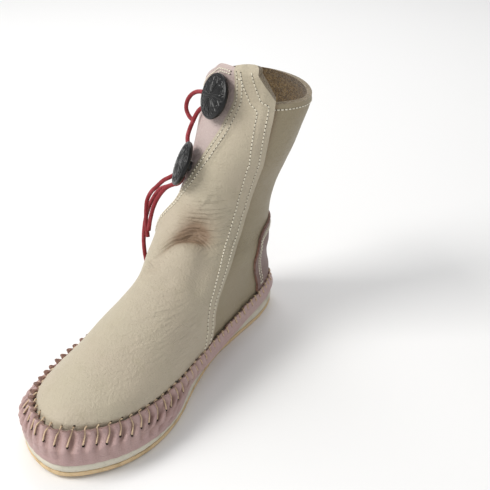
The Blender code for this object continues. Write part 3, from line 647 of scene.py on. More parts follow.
class Finish:
    """A material under construction: its node tree and its shader."""

    def __init__(self, name, colour, roughness, tints=(), bumps=(), sockets=()):
        """tints: noise, where it starts and is full, colour, strength. bumps: noise, depth, strength."""
        self.made = bpy.data.materials.new(name)
        self.made.use_nodes = True
        self.nodes = self.made.node_tree.nodes
        self.links = self.made.node_tree.links
        self.shader = self.nodes["Principled BSDF"]
        self.plain = (*srgb(colour), 1.0)
        self.shader.inputs["Base Color"].default_value = self.plain
        self.shader.inputs["Roughness"].default_value = roughness
        for socket, value in sockets:
            self.shader.inputs[socket].default_value = value
        self.colour = None
        self.height = None
        self.place = self.nodes.new("ShaderNodeTexCoord").outputs["Object"]
        for noise, low, high, mixed, strength in tints:
            self.tint(self.ramp(self.noise(*noise), low, high), mixed, strength)
        for noise, depth, strength in bumps:
            self.bump(self.noise(*noise), depth, strength)

    def node(self, kind, values, links, **settings):
        """New node with its settings, its sockets' values and its links."""
        node = self.nodes.new("ShaderNode" + kind)
        for key, value in settings.items():
            setattr(node, key, value)
        for socket, value in values.items():
            node.inputs[socket].default_value = value
        for socket, source in links.items():
            self.links.new(source, node.inputs[socket])
        return node

    def noise(self, scale, detail=2.0, rough=0.5, stretch=None):
        """Noise by place."""
        place = self.place
        if stretch:
            place = self.node("Mapping", {"Scale": stretch}, {"Vector": place}).outputs["Vector"]
        values = {"Scale": scale, "Detail": detail, "Roughness": rough}
        return self.node("TexNoise", values, {"Vector": place}).outputs["Fac"]

    def cells(self, scale):
        """Distance to the nearest of many scattered points, for pores and grain."""
        return self.node("TexVoronoi", {"Scale": scale}, {"Vector": self.place}).outputs["Distance"]

    def ramp(self, value, low, high):
        """Value stretched so that low becomes 0 and high 1."""
        values = {"From Min": low, "From Max": high}
        made = self.node("MapRange", values, {"Value": value}, interpolation_type="SMOOTHSTEP")
        return made.outputs["Result"]

    def times(self, value, other):
        """Product of two values."""
        return self.node("Math", {}, {0: value, 1: other}, operation="MULTIPLY").outputs[0]

    def attribute(self, name):
        """A value kept on the mesh, such as how deep a crease is."""
        return self.node("Attribute", {}, {}, attribute_name=name).outputs["Fac"]

    def tint(self, value, colour, strength):
        """Mixes a colour in by a value."""
        value = self.node("Math", {1: strength}, {0: value}, operation="MULTIPLY").outputs[0]
        mix = self.node("Mix", {}, {"Factor": value}, data_type="RGBA")
        low, high = (socket for socket in mix.inputs if socket.type == "RGBA")
        low.default_value = self.plain
        high.default_value = (*srgb(colour), 1.0)
        if self.colour is not None:
            self.links.new(self.colour, low)
        self.colour = next(socket for socket in mix.outputs if socket.type == "RGBA")
        self.links.new(self.colour, self.shader.inputs["Base Color"])

    def bump(self, value, depth, strength):
        """Raises the surface by a value. depth in metres."""
        node = self.node("Bump", {"Distance": depth, "Strength": strength}, {"Height": value})
        if self.height is not None:
            self.links.new(self.height, node.inputs["Normal"])
        self.height = node.outputs["Normal"]
        self.links.new(self.height, self.shader.inputs["Normal"])

    def rough(self, value, low, high):
        """Roughness between low and high by a value."""
        made = self.node("MapRange", {"To Min": low, "To Max": high}, {"Value": value}).outputs["Result"]
        self.links.new(made, self.shader.inputs["Roughness"])


def leather(name, colour, warm, dark, roughness=0.50, grain=1240.0, depth=0.00012):
    """Smooth aniline leather: soft colour drift, fine grain, brown painted shade in creases and hollows."""
    tints = (
        ((22.0, 3.0), 0.40, 0.68, warm, 0.45),
        ((90.0, 4.0), 0.50, 0.75, dark, 0.22),
        ((1400.0, 2.0), 0.45, 0.80, dark, 0.16),
    )
    bumps = (
        ((48.0, 3.0), 0.0012, 0.40),
        ((1.0, 3.0, 0.55, (70.0, 70.0, 300.0)), 0.0008, 0.22),
    )
    sockets = (("Specular IOR Level", 0.42), ("Coat Weight", 0.05), ("Coat Roughness", 0.35))
    finish = Finish(name, colour, roughness, tints, bumps, sockets)
    # Painted shade of creases, hollows and folds, in brown, and the real brown of the wall's raw lip
    finish.tint(finish.attribute("stain"), (116, 84, 58), 0.72)
    finish.rough(finish.noise(160.0, 3.0), roughness - 0.08, roughness + 0.10)
    folds = finish.noise(1.0, 3.0, 0.5, (60.0, 60.0, 560.0))
    finish.bump(finish.times(folds, finish.attribute("wrinkle")), 0.0026, 0.9)
    finish.bump(finish.noise(620.0, 4.0, 0.65), 0.0010, 0.80)
    finish.bump(finish.cells(grain), depth, 0.6)
    return finish.made


def suede(name, colour, light, dark):
    """Napped flesh side of leather."""
    tints = (((560.0, 5.0, 0.75), 0.40, 0.66, light, 0.80), ((760.0, 4.0, 0.75), 0.46, 0.64, dark, 0.80))
    sockets = (("Sheen Weight", 0.35), ("Specular IOR Level", 0.2))
    return Finish(name, colour, 0.95, tints, (((420.0, 6.0, 0.8), 0.0014, 1.0),), sockets).made


CREAM = leather("cream", (179, 169, 148), (181, 167, 149), (162, 153, 126))
# Rear quarter: the same cream leather, darker by painted shade
QUARTER_SHADED_CREAM = leather("cream_quarter_painted_shade", (147, 136, 112), (148, 134, 112), (132, 121, 94))
PINK = leather("wall_pink", (176, 147, 144), (182, 158, 151), (150, 117, 116), 0.46, 1400.0, 0.00010)
# Heel counter: the pink leather, darker by painted shade
COUNTER_SHADED_PINK = leather("counter_pink_painted_shade", (114, 88, 82), (120, 95, 88), (94, 68, 64), 0.50, 1400.0, 0.00010)
PALE = leather("flap_pink", (184, 167, 162), (186, 170, 164), (170, 150, 146))
SUEDE = suede("suede", (98, 77, 49), (152, 128, 89), (46, 34, 20))
FLESH = suede("flesh_brown", (132, 92, 78), (160, 118, 100), (86, 54, 46))
EDGE = suede("cut_edge", (136, 120, 94), (160, 144, 116), (92, 76, 56))
BROWN_EDGE = suede("brown_edge", (136, 98, 84), (164, 124, 108), (92, 60, 50))


def thread_finish(name, colour, worn):
    """Twisted thread or thin lace, worn in places."""
    tints = (((1100.0,), 0.45, 0.7, worn, 0.5),)
    return Finish(name, colour, 0.6, tints, (((2500.0,), 0.0002, 0.6),)).made


def hole_shade_finish():
    """Painted shade of the dark inside of a needle or awl hole."""
    finish = Finish("hole", (44, 32, 26), 0.9)
    finish.tint(finish.noise(700.0), (28, 20, 16), 0.5)
    return finish.made


def foam_finish():
    """Off-white foam of the midsole, with small scuffs."""
    tints = (
        ((120.0, 5.0), 0.52, 0.72, (168, 162, 142), 0.5),
        ((500.0, 3.0), 0.60, 0.74, (150, 142, 120), 0.35),
    )
    return Finish("foam", (203, 198, 182), 0.75, tints, (((900.0, 4.0), 0.0002, 0.5),)).made


def rubber_finish():
    """Tan outsole sheet."""
    tints = (
        ((160.0, 5.0), 0.48, 0.70, (166, 142, 102), 0.55),
        ((800.0, 3.0), 0.50, 0.72, (214, 198, 164), 0.40),
    )
    return Finish("tan", (211, 184, 144), 0.8, tints, (((700.0, 5.0), 0.0003, 0.6),)).made


def button_finish():
    """Polished black horn or resin, with painted shade darkening the cuts of its relief."""
    tints = (((240.0, 4.0), 0.5, 0.72, (26, 28, 29), 0.5),)
    sockets = (("Specular IOR Level", 0.30), ("Coat Weight", 0.10), ("Coat Roughness", 0.16))
    finish = Finish("button_black", (13, 14, 15), 0.42, tints, (((1500.0,), 0.00008, 0.4),), sockets)
    # Painted shade in the cuts of the relief
    finish.tint(finish.attribute("cut"), (8, 8, 9), 0.9)
    finish.rough(finish.noise(500.0, 3.0), 0.26, 0.40)
    return finish.made


def thong_finish():
    """Red dyed leather lace with pale worn streaks."""
    tints = (
        ((130.0, 4.0), 0.48, 0.68, (176, 78, 86), 0.5),
        ((420.0, 3.0), 0.55, 0.75, (84, 22, 30), 0.50),
    )
    bumps = (((600.0, 5.0, 0.7), 0.0004, 0.7),)
    return Finish("thong_red", (132, 40, 46), 0.6, tints, bumps, (("Specular IOR Level", 0.35),)).made


THREAD_FINISH = thread_finish("thread", (226, 220, 202), (180, 168, 142))
LACE_FINISH = thread_finish("lace", (206, 182, 150), (158, 130, 100))
HOLE_SHADE_FINISH = hole_shade_finish()
THONG_FINISH = thong_finish()


# Pieces and meshes. The red thongs come first, as free cords.
def finished(piece, slot, *nodes):
    """Puts a piece under the root and hides the frame's nodes that it stands for; slot is not used."""
    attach(piece, "root")
    if nodes:
        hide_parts(*nodes)


def thong(name, route):
    """One red thong where the frame has it, as a round curve."""
    points = smooth_line(route, 12)
    curve = bpy.data.curves.new(name + "_lace", "CURVE")
    curve.dimensions = "3D"
    curve.bevel_depth = THONG_DIAMETER / 2.0
    curve.bevel_resolution = 4
    curve.use_fill_caps = True
    line = curve.splines.new("POLY")
    line.points.add(len(points) - 1)
    for point, target in zip(line.points, points):
        point.co = (*target, 1.0)
    curve.materials.append(THONG_FINISH)
    piece = linked(name + "_lace", curve)
    finished(piece, "red_thong", name)


for thong_name, thong_route in THONGS.items():
    thong(thong_name, thong_route)


def new_piece(name, points, faces, materials, kinds=None, **values):
    """Smooth shaded mesh. kinds: the material of each face. values: named values on the points."""
    points = np.array(points, dtype=float).reshape(-1, 3)
    points[:, 2] += spring(points[:, 1])
    mesh = bpy.data.meshes.new(name)
    mesh.from_pydata(points.tolist(), [], faces)
    mesh.shade_smooth()
    for made in materials:
        mesh.materials.append(made)
    if kinds is not None:
        mesh.polygons.foreach_set("material_index", np.array(kinds, dtype=np.int32))
    for key, value in values.items():
        layer = mesh.attributes.new(key, "FLOAT", "POINT")
        layer.data.foreach_set("value", np.ravel(value).astype(np.float32))
    mesh.set_sharp_from_angle(angle=SHARP_EDGE)
    return linked(name, mesh)


def quads(*corners):
    """Four sided faces from grids of their corners."""
    return np.stack([np.ravel(corner) for corner in corners], axis=1).tolist()


def shell(name, outer, inner, materials, closed=False, **values):
    """Sheet between two grids of points. materials: outside, inside and edges. values: named, on the grid."""
    rows, size = outer.shape[:2]
    grid = np.arange(rows * size).reshape(rows, size)
    if closed:
        grid = np.concatenate([grid, grid[:, :1]], axis=1)
    back = grid + rows * size
    parts = [
        quads(grid[:-1, :-1], grid[:-1, 1:], grid[1:, 1:], grid[1:, :-1]),
        quads(back[1:, :-1], back[1:, 1:], back[:-1, 1:], back[:-1, :-1]),
        quads(back[0, :-1], back[0, 1:], grid[0, 1:], grid[0, :-1]),
        quads(grid[-1, :-1], grid[-1, 1:], back[-1, 1:], back[-1, :-1]),
    ]
    if not closed:
        parts.append(quads(grid[:-1, -1], back[:-1, -1], back[1:, -1], grid[1:, -1]))
        parts.append(quads(back[:-1, 0], grid[:-1, 0], grid[1:, 0], back[1:, 0]))
    kinds = [min(index, 2) for index, part in enumerate(parts) for _ in part]
    points = np.concatenate([outer.reshape(-1, 3), inner.reshape(-1, 3)])
    values = {key: np.tile(np.ravel(value), 2) for key, value in values.items()}
    return new_piece(name, points, sum(parts, []), materials, kinds, **values)


def bands(rings, sides, start=0):
    """Faces between closed rings of points that follow each other."""
    low = start + np.arange(rings - 1)[:, None] * sides + np.arange(sides)
    after = start + np.arange(rings - 1)[:, None] * sides + (np.arange(sides) + 1) % sides
    return quads(low, after, after + sides, low + sides)


def copies(faces, size, count):
    """Faces of many pieces that are alike, each with a number of points."""
    return [[corner + start for corner in face] for start in range(0, size * count, size) for face in faces]


def circles(along, sides):
    """Unit circles round directions: an array of direction, side, xyz."""
    side = unit(np.cross(along, np.array([0.31, 0.17, 0.94])))
    angle = np.arange(sides)[:, None] * 2.0 * math.pi / sides
    return side[..., None, :] * np.cos(angle) + np.cross(along, side)[..., None, :] * np.sin(angle)


def tubes(paths, radius, sides=8):
    """Points and faces of tubes along smooth paths, with rounded ends. paths: array of tube, point, xyz."""
    paths = np.array(paths)
    count, steps = paths.shape[:2]
    taper = np.ones(steps)
    taper[0] = taper[-1] = TUBE_TAPER
    ring = circles(unit(np.gradient(paths, axis=1)), sides)
    points = paths[:, :, None] + ring * (radius * taper)[:, None, None]
    ends = [list(range(sides))[::-1], list(range((steps - 1) * sides, steps * sides))]
    return points, copies(bands(steps, sides) + ends, steps * sides, count)


def dots(centres, normals, radius, sides=8):
    """Points and faces of small lens shaped dots that lie on a surface."""
    centres, normals = (np.array(value)[:, None] for value in (centres, normals))
    reach = circles(normals[:, 0], sides)
    radius = np.reshape(radius * np.ones(len(centres)), (-1, 1, 1))
    rings = [centres + (reach * share + normals * level) * radius for level, share in DOT_RINGS]
    pole = normals * radius * DOT_HEIGHT
    points = np.concatenate([centres - pole, *rings, centres + pole], axis=1)
    size = 2 * sides + 2
    fans = []
    for step in range(sides):
        after = (step + 1) % sides
        fans += [[0, 1 + after, 1 + step], [size - 1, 1 + sides + step, 1 + sides + after]]
    return points, copies(fans + bands(2, sides, 1), size, len(centres))


# The upper's relief: creases placed along lines on the form
# Each: places along the crease as (around, section), half width, depth, painted shade. Minus depth is a ridge.
CREASES = (
    (((-0.034, 6.0), (-0.020, 6.45), (-0.008, 6.9), (0.010, 7.25), (0.028, 7.42), (0.050, 7.25),
      (0.071, 6.90), (0.092, 6.45)), 0.0034, 0.0014, 0.30),
    (((-0.030, 6.35), (-0.014, 6.8), (0.004, 7.25), (0.028, 7.60), (0.054, 7.42), (0.078, 7.0), (0.096, 6.6)),
     0.0024, 0.0006, 0.25),
    (((-0.026, 6.65), (-0.008, 7.15), (0.010, 7.5), (0.030, 7.78), (0.056, 7.6), (0.080, 7.2)),
     0.0016, 0.0006, 0.35),
    (((-0.037, 5.75), (-0.024, 6.2), (-0.012, 6.6), (0.004, 6.95), (0.026, 7.2), (0.048, 7.02)),
     0.0012, 0.0006, 0.2),
    (((-0.052, 5.95), (-0.034, 5.80), (-0.018, 5.9), (0.000, 6.05)), 0.0014, 0.0005, 0.1),
    (((-0.056, 5.70), (-0.036, 5.55), (-0.016, 5.65), (0.006, 5.85)), 0.0014, 0.0005, 0.1),
    (((-0.058, 5.45), (-0.036, 5.30), (-0.012, 5.40), (0.008, 5.55)), 0.0015, 0.0004, 0.05),
    (((0.040, 8.25), (0.062, 8.45), (0.088, 8.35), (0.112, 8.60)), 0.0024, 0.0006, 0.05),
    (((0.070, 6.9), (0.080, 6.3), (0.090, 5.5), (0.104, 4.4)), 0.0060, 0.0014, 0.0),
    (((-0.060, 5.2), (-0.030, 5.0), (0.010, 5.2), (0.040, 5.6)), 0.0060, 0.0008, 0.0),
    (((0.030, 9.4), (0.060, 9.2), (0.100, 9.5)), 0.0060, 0.0008, 0.0),
)
# Broad hollows and swellings of the front: place, reach and depth in metres, painted shade
SWELLS = (
    (0.026, 7.80, 0.0110, 0.0050, 0.85),
    (0.004, 7.45, 0.0065, 0.0010, 0.30),
    (0.052, 7.55, 0.0065, 0.0010, 0.35),
    (0.042, 6.40, 0.0125, -0.0042, 0.0),
    (-0.020, 5.60, 0.0140, 0.0010, 0.0),
    (0.085, 7.90, 0.0100, -0.0010, 0.0),
    (0.020, 2.00, 0.0300, -0.0008, 0.0),
)

# Places where the leather is finely wrinkled: around, section, reach in metres, strength
WRINKLED = (
    (0.078, 8.5, 0.016, 1.0),
    (0.120, 6.6, 0.012, 0.9),
    (-0.034, 5.7, 0.015, 0.9),
    (0.022, 7.4, 0.017, 0.9),
    (0.085, 7.2, 0.014, 0.6),
    (-0.010, 10.0, 0.022, 0.35),
    (0.075, 4.0, 0.028, 0.40),
    (0.110, 2.8, 0.028, 0.36),
    (0.020, 1.6, 0.030, 0.15),
)


def line_distance(points, line):
    """Distance of points to a line of points, and the share of the line at the nearest place."""
    best = np.full(points.shape[:-1], np.inf)
    share = np.zeros(points.shape[:-1])
    count = len(line) - 1
    for index in range(count):
        start, step = line[index], line[index + 1] - line[index]
        part = np.clip(((points - start) @ step) / (step @ step), 0.0, 1.0)
        distance = np.linalg.norm(points - start - part[..., None] * step, axis=-1)
        share = np.where(distance < best, (index + part) / count, share)
        best = np.minimum(best, distance)
    return best, share


def from_ends(share, over, start=0.0):
    """Rises from the ends of a line to 1 in its middle."""
    return smooth_step(np.minimum(share, 1.0 - share) / over + start)


def spot(base, around, section, reach):
    """1 at a place of the form, falling off over a reach in metres."""
    centre = form(np.array([around]), np.array([section]))[0]
    return bell(np.linalg.norm(base - centre, axis=-1), reach)


def crease_field(base):
    """Depth below the form, and painted shade of the creases and hollows, at points of the form."""
    depth = np.zeros(base.shape[:-1])
    stain = np.zeros(base.shape[:-1])
    for number, (places, width, deep, shade) in enumerate(CREASES):
        near, share = line_distance(base, form(*smooth_line(places, 6).T))
        depth += deep * from_ends(share, 0.22, 0.05) * bell(near, width)
        # Painted shade along each crease
        stain += shade * bell(near, 2.2 * width) * from_ends(share, 0.3)
        if number == 0:
            ripple = np.cos(2.0 * math.pi * near / RIPPLE_PITCH) * bell(near, RIPPLE_REACH)
            depth += RIPPLE_DEPTH * ripple * from_ends(share, 0.25)
    for *place, deep, shade in SWELLS:
        share = spot(base, *place)
        depth += deep * share
        # Painted shade in the hollows
        stain += shade * share
    return depth, np.clip(stain, 0.0, 1.0)


def wrinkle_field(base):
    """How finely wrinkled the leather is at points of the form."""
    return np.clip(sum(strength * spot(base, *place) for *place, strength in WRINKLED), 0.0, 1.0)


def rim_swell(section, top):
    """Extra thickness of the raw edge at the collar, where the nap stands out."""
    return RIM_SWELL * smooth_step(1.0 - (top - section) / RIM_SWELL_SECTIONS)


def waviness(base):
    """Slight unevenness of soft leather, in metres."""
    x, y, z = np.moveaxis(base, -1, 0)
    wave = np.sin(61.0 * y + 43.0 * z + 1.3) * np.sin(57.0 * x - 38.0 * z)
    wave += 0.6 * np.sin(127.0 * z + 83.0 * x + 0.4) * np.sin(97.0 * y - 51.0 * x)
    return UNEVEN * wave


def lace_wave(around):
    """1 at the lacing's stitches and 0 half way between them."""
    return 0.5 - 0.5 * np.cos(2.0 * math.pi * around * LACE_STITCHES)


def panel_lift(around, section):
    """How far the front panel stands above the form: its lap, and its edge over the flap's sewn edge."""
    lap = LAP + LAP_EXTRA
    metres = metres_round(around, section)
    from_flap = (around - place_of(FLAP_COLUMN, section)) * metres
    over = smooth_step((FLAP_OVERLAP - from_flap) / FLAP_CLIMB)
    over = over * smooth_step((section - FLAP_FOOT_SEWN + 0.4) / 0.6)
    middle = (ROW_NEAR + ROW_FAR) / 2.0
    swell = bell((place_of(LAP_COLUMN, section) - around) * metres - middle, ROW_SWELL_WIDTH)
    lift = lap * np.clip(section / LAP_RISE, 0.0, 1.0) + (LAY_GAP + FLAP_LEATHER + OVER_FLAP - lap) * over
    return lift + ROW_SWELL * swell * np.clip(section / 0.5, 0.0, 1.0)


def upper_place(around, section, lifted=True):
    """Points, normals, depth and painted shade of the upper's outside at places. lifted: as the front panel."""
    base = form(around, section)
    normal = normal_of(form, around, section)
    depth, stain = crease_field(base)
    pucker = PUCKER * bell(section - PUCKER_SECTION, PUCKER_WIDTH) * lace_wave(around)
    depth = depth + waviness(base) * np.clip(section, 0.0, 1.0) + pucker
    lift = panel_lift(around, section) if lifted else 0.0
    return base + normal * (lift - depth)[..., None], normal, depth, stain


def softened(values, count=9):
    """Values smoothed along a line, its ends kept."""
    padded = np.pad(values, count // 2, mode="edge")
    return np.convolve(padded, np.full(count, 1.0 / count), mode="valid")


def panel_span(section):
    """Places of the front panel's side edges at a section."""
    return place_of(FLAP_COLUMN, section), place_of(LAP_COLUMN, section)


def quarter_span(section):
    """Places of the rear quarter's side edges at a section, under the front panel's."""
    return place_of(LAP_COLUMN, section) - UNDERLAP, 1.0 + place_of(FLAP_COLUMN, section) + UNDERLAP


def across(span, section, shares):
    """Places at shares of the way between two side edges."""
    start, end = span(section)
    return start + (end - start) * shares


def top_sections(span, shares, heights):
    """Section at which each column reaches its height."""
    top = TOP_SECTION
    for _ in range(4):
        top = section_at(across(span, top, shares), heights)
    return top


def row_levels():
    """Sections of the upper's rows, closer together where the ankle creases."""
    fine = np.linspace(MARGIN_SECTION, TOP_SECTION, 600)
    inside = np.minimum(fine - CREASED[0], CREASED[1] - fine)
    total = np.cumsum(1.0 + (CREASED_FINENESS - 1.0) * smooth_step(inside / 0.5 + 1.0))
    return np.interp(np.linspace(total[0], total[-1], UPPER_ROWS), total, fine)


def upper_grid(span, shares, top):
    """Places and sections of an upper panel's grid, from its margin to its top edge."""
    levels = row_levels()[:, None]
    rise = np.clip(levels - RIM_START, 0.0, None) / (TOP_SECTION - RIM_START)
    sections = np.minimum(levels, RIM_START) + (top - RIM_START) * rise
    return across(span, sections, shares), sections


PANEL_SHARES = np.linspace(0.0, 1.0, PANEL_COLUMNS)
QUARTER_SHARES = np.linspace(0.0, 1.0, QUARTER_COLUMNS)
PANEL_RIM = REAR_RIM + (FRONT_RIM - REAR_RIM) * softened(look_up(FRONT_EDGE, PANEL_SHARES), 15)
PANEL_TOP = top_sections(panel_span, PANEL_SHARES, PANEL_RIM)
QUARTER_TOP = top_sections(quarter_span, QUARTER_SHARES, np.full(QUARTER_COLUMNS, REAR_RIM))


def upper_panel(name, span, shares, top, lifted, leather_finish):
    """Front panel with the vamp, or rear quarter, as a closed sheet."""
    places, sections = upper_grid(span, shares, top)
    base = form(places, sections)
    outer, normal, depth, stain = upper_place(places, sections, lifted)
    inner = base - normal * (LEATHER + rim_swell(sections, top) + depth)[..., None]
    if lifted:
        wrinkle = wrinkle_field(base)
    else:
        wrinkle = np.full(sections.shape, QUARTER_WRINKLE)
        # Painted shadow of the front panel's lap on the rear quarter
        from_lap = (places - place_of(LAP_COLUMN, sections)) * metres_round(places, sections)
        stain = np.clip(stain + LAP_SHADE * np.exp(-np.clip(from_lap, 0.0, 1.0) / LAP_SHADE_WIDTH), 0.0, 1.0)
    piece = shell(name, outer, inner, (leather_finish, SUEDE, EDGE), stain=stain, wrinkle=wrinkle)
    finished(piece, "cream_leather", "upper")


upper_panel("front_panel", panel_span, PANEL_SHARES, PANEL_TOP, True, CREAM)
upper_panel("rear_quarter", quarter_span, QUARTER_SHARES, QUARTER_TOP, False, QUARTER_SHADED_CREAM)


# Moccasin wall: gathered between the lacing's stitches, its raw edge standing up in scallops
FORWARD = (HEEL_CENTRE - SOLE_RING[:, 1]) / SOLE_LENGTH
LEDGE = LEDGE_SIDE + (LEDGE_TOE - LEDGE_SIDE) * smooth_step((FORWARD - 0.70) / 0.25)
SEAM_OUTWARD = outward(SEAM_RING)


def belly():
    """Distance that the wall stands out beyond the sole's edge."""
    inner, outer = (look_up(WALL_BELLY, FORWARD, column) for column in (1, 2))
    return WALL_BULGE * (outer + (inner - outer) * smooth_step(0.5 + SOLE_RING[:, 0] / HEEL_WIDTH))


def outside_seam(ring, distance):
    """Ring moved out where it lies less than a distance outside the seam."""
    reach = np.sum((ring - SEAM_RING) * SEAM_OUTWARD, axis=1)
    return ring + SEAM_OUTWARD * np.clip(distance - reach, 0.0, None)[:, None]


def wall_rings():
    """Key rings of the wall's outside, from its foot to its laced edge."""
    foot = SOLE_TOP + GAP
    above = WALL_GAP + WALL_LEATHER
    slope = math.atan2(MARGIN_DOWN, MARGIN_OUT)
    out = above * math.sin(slope)
    top = SEAM_HEIGHT + above * math.cos(slope)
    wide = outside_seam(grown(SOLE_RING, belly()), MARGIN_OUT + above)
    return np.array([
        with_height(grown(SOLE_RING, -LEDGE), foot),
        with_height(grown(SOLE_RING, WALL_LOW_BULGE * belly() - WALL_LOW_LEDGE * LEDGE),
                    foot + (SEAM_HEIGHT - foot) * WALL_LOW),
        with_height(wide, foot + (SEAM_HEIGHT - foot) * WALL_WIDEST),
        with_height(grown(SEAM_RING, out + MARGIN_OUT), top - MARGIN_DOWN),
        with_height(grown(SEAM_RING, out), top),
    ])


WALL_FORM = wall_rings()
WALL_TOP = float(len(WALL_FORM) - 1)


def wall_form(around, level):
    """Points of the wall's smooth outside. level: 0 at its foot to WALL_TOP at its edge."""
    return on_rings(WALL_FORM, around, level)[0]


def toe_share(around):
    """1 at the toe, 0 from the middle of the foot back."""
    return smooth_step((TOE_END - np.abs(np.mod(around + 0.5, 1.0) - 0.5)) / TOE_FADE)


def lace_reach(around):
    """Distance from the wall's edge down to its lacing holes."""
    return LACE_HEEL + (LACE_TOE - LACE_HEEL) * toe_share(around) ** 1.4


def pull(around):
    """How far each gather of the wall differs from its neighbours."""
    count = np.floor(np.mod(around, 1.0) * LACE_STITCHES)
    return PULL_MEAN + PULL_SPREAD * np.sin(count * 2.4) * np.sin(count * 0.83 + 0.7)


def level_out(around):
    """Level direction away from the seam, as points in space."""
    flat = at_share(SEAM_OUTWARD, around)
    return np.concatenate([flat, np.zeros_like(flat[..., :1])], axis=-1)


# Folds of the wall where the sole bends. place, tilt: around. lowest, highest: levels. width, depth: metres
WALL_FOLDS = (
    (0.100, 0.0100, 0.8, 3.3, 0.0012, 0.0010),
    (0.116, 0.0160, 0.6, 3.5, 0.0012, 0.0016),
    (0.134, 0.0200, 0.5, 3.6, 0.0013, 0.0021),
    (0.152, 0.0210, 0.5, 3.5, 0.0013, 0.0021),
    (0.170, 0.0180, 0.7, 3.3, 0.0012, 0.0016),
    (0.188, 0.0140, 0.8, 3.2, 0.0012, 0.0010),
    (0.125, 0.0180, 0.6, 3.4, 0.0022, -0.0009),
    (0.143, 0.0200, 0.6, 3.4, 0.0022, -0.0011),
    (0.161, 0.0190, 0.8, 3.2, 0.0022, -0.0009),
    (-0.150, 0.0060, 0.8, 3.2, 0.0024, 0.0012),
    (-0.172, 0.0060, 0.8, 3.2, 0.0024, 0.0012),
    (-0.194, 0.0060, 0.8, 3.2, 0.0024, 0.0010),
)


def wall_folds(base):
    """Depth and painted shade of the wall's folds at points of its smooth outside."""
    depth = np.zeros(base.shape[:-1])
    stain = np.zeros(base.shape[:-1])
    along = np.linspace(-1.0, 1.0, FOLD_SAMPLES)
    for place, tilt, lowest, highest, width, deep in WALL_FOLDS:
        line = wall_form(place + tilt * along, (lowest + highest) / 2.0 + along * (highest - lowest) / 2.0)
        near, share = line_distance(base, line)
        fold = bell(near, width) * from_ends(share, 0.35, 0.1)
        depth += deep * fold
        # Painted shade in the hollow of each fold
        stain += max(deep, 0.0) / FOLD_FULL_SHADE * fold
    return depth, stain


def wall_place(around, level):
    """Points and normals of the gathered wall, with painted shade in gathers and folds and the brown raw lip.
    """
    base = wall_form(around, level)
    normal = normal_of(wall_form, around, level)
    toe = toe_share(around)
    inner_side = smooth_step(np.sin(2.0 * math.pi * around) * 4.0)
    reach = lace_reach(around)
    top = smooth_step(1.0 - (SEAM_TOE_HEIGHT - base[..., 2] - 0.2 * reach) / (GATHER_REACH * reach))
    gather = lace_wave(around) ** 1.5 * top * pull(around) * (GATHER_HEEL + GATHER_TOE * toe)
    crinkle = np.sin(around * 5.3 * LACE_STITCHES + 31.0 * level) * np.sin(around * 2.1 * LACE_STITCHES + 7.0)
    folds, fold_shade = wall_folds(base)
    depth = PLEAT_DEPTH * (1.5 * gather - GATHER_SWELL * top) + CRINKLE * crinkle * (0.4 + top) + folds
    lip = np.clip(1.0 - (WALL_TOP - level) / LIP_LEVELS, 0.0, 1.0)
    between = np.abs(np.mod(around * LACE_STITCHES, 1.0) - 0.5)
    scallop = np.sqrt(np.clip(1.0 - (1.0 - 2.0 * between) ** 2.4, 0.0, 1.0))
    ruffle = 1.0 + RUFFLE * (inner_side - 0.3) * (1.0 - toe)
    rise = EDGE_RISE * ruffle * (0.05 + 0.95 * scallop * pull(around + 0.006)) * lip**1.4
    foot = toe * smooth_step(1.0 - level / SAG_LEVELS)
    hollow = WALL_TUCK * inner_side * (1.0 - toe) * smooth_step(1.0 - level / TUCK_LEVELS)
    curl = EDGE_CURL * (0.45 + 0.55 * toe - 0.40 * inner_side) * scallop * lip**3
    out = curl - EDGE_TUCK * lip + TOE_SAG_OUT * foot - hollow
    points = base - normal * depth[..., None] + level_out(around) * out[..., None]
    points[..., 2] += rise - TOE_SAG_DOWN * foot
    # Painted shade in the gathers and folds, and the real brown of the raw lip
    return points, normal, np.clip(gather * GATHER_SHADE + fold_shade + LIP_STAIN * lip**2, 0.0, 1.0)


def moccasin_wall():
    """The wall as a closed sheet that turns under the foot."""
    places = np.tile(np.arange(LACE_STITCHES * WALL_STEPS) / (LACE_STITCHES * WALL_STEPS), (WALL_ROWS, 1))
    levels = np.broadcast_to((WALL_TOP * np.linspace(0.0, 1.0, WALL_ROWS) ** 0.92)[:, None], places.shape)
    outer, normal, stain = wall_place(places, levels)
    inner = outer - normal * WALL_LEATHER
    floor = outer[:1] - level_out(places[:1]) * WALL_FLOOR
    inner[..., 2] = np.maximum(inner[..., 2], outer[:1, :, 2] + WALL_LEATHER)
    outer = np.concatenate([floor, outer])
    inner = np.concatenate([floor + [0.0, 0.0, WALL_LEATHER], inner])
    stain = np.concatenate([stain[:1], stain])
    values = {"stain": stain, "wrinkle": np.full(stain.shape, WALL_WRINKLE)}
    piece = shell("gathered_wall", outer, inner, (PINK, FLESH, BROWN_EDGE), True, **values)
    finished(piece, "pink_leather", "moccasin_wall")


moccasin_wall()


def below_edge(places, reaches):
    """Points and normals of the wall at distances down from its edge."""
    levels = np.linspace(0.0, WALL_TOP, 81)
    found = []
    for place, reach in zip(places, reaches):
        points, normals = wall_place(np.full_like(levels, place), levels)[:2]
        pick = np.argmin(np.abs(np.linalg.norm(points - points[-1], axis=1) - reach))
        found.append((points[pick], normals[pick]))
    return np.array(found).transpose(1, 0, 2)


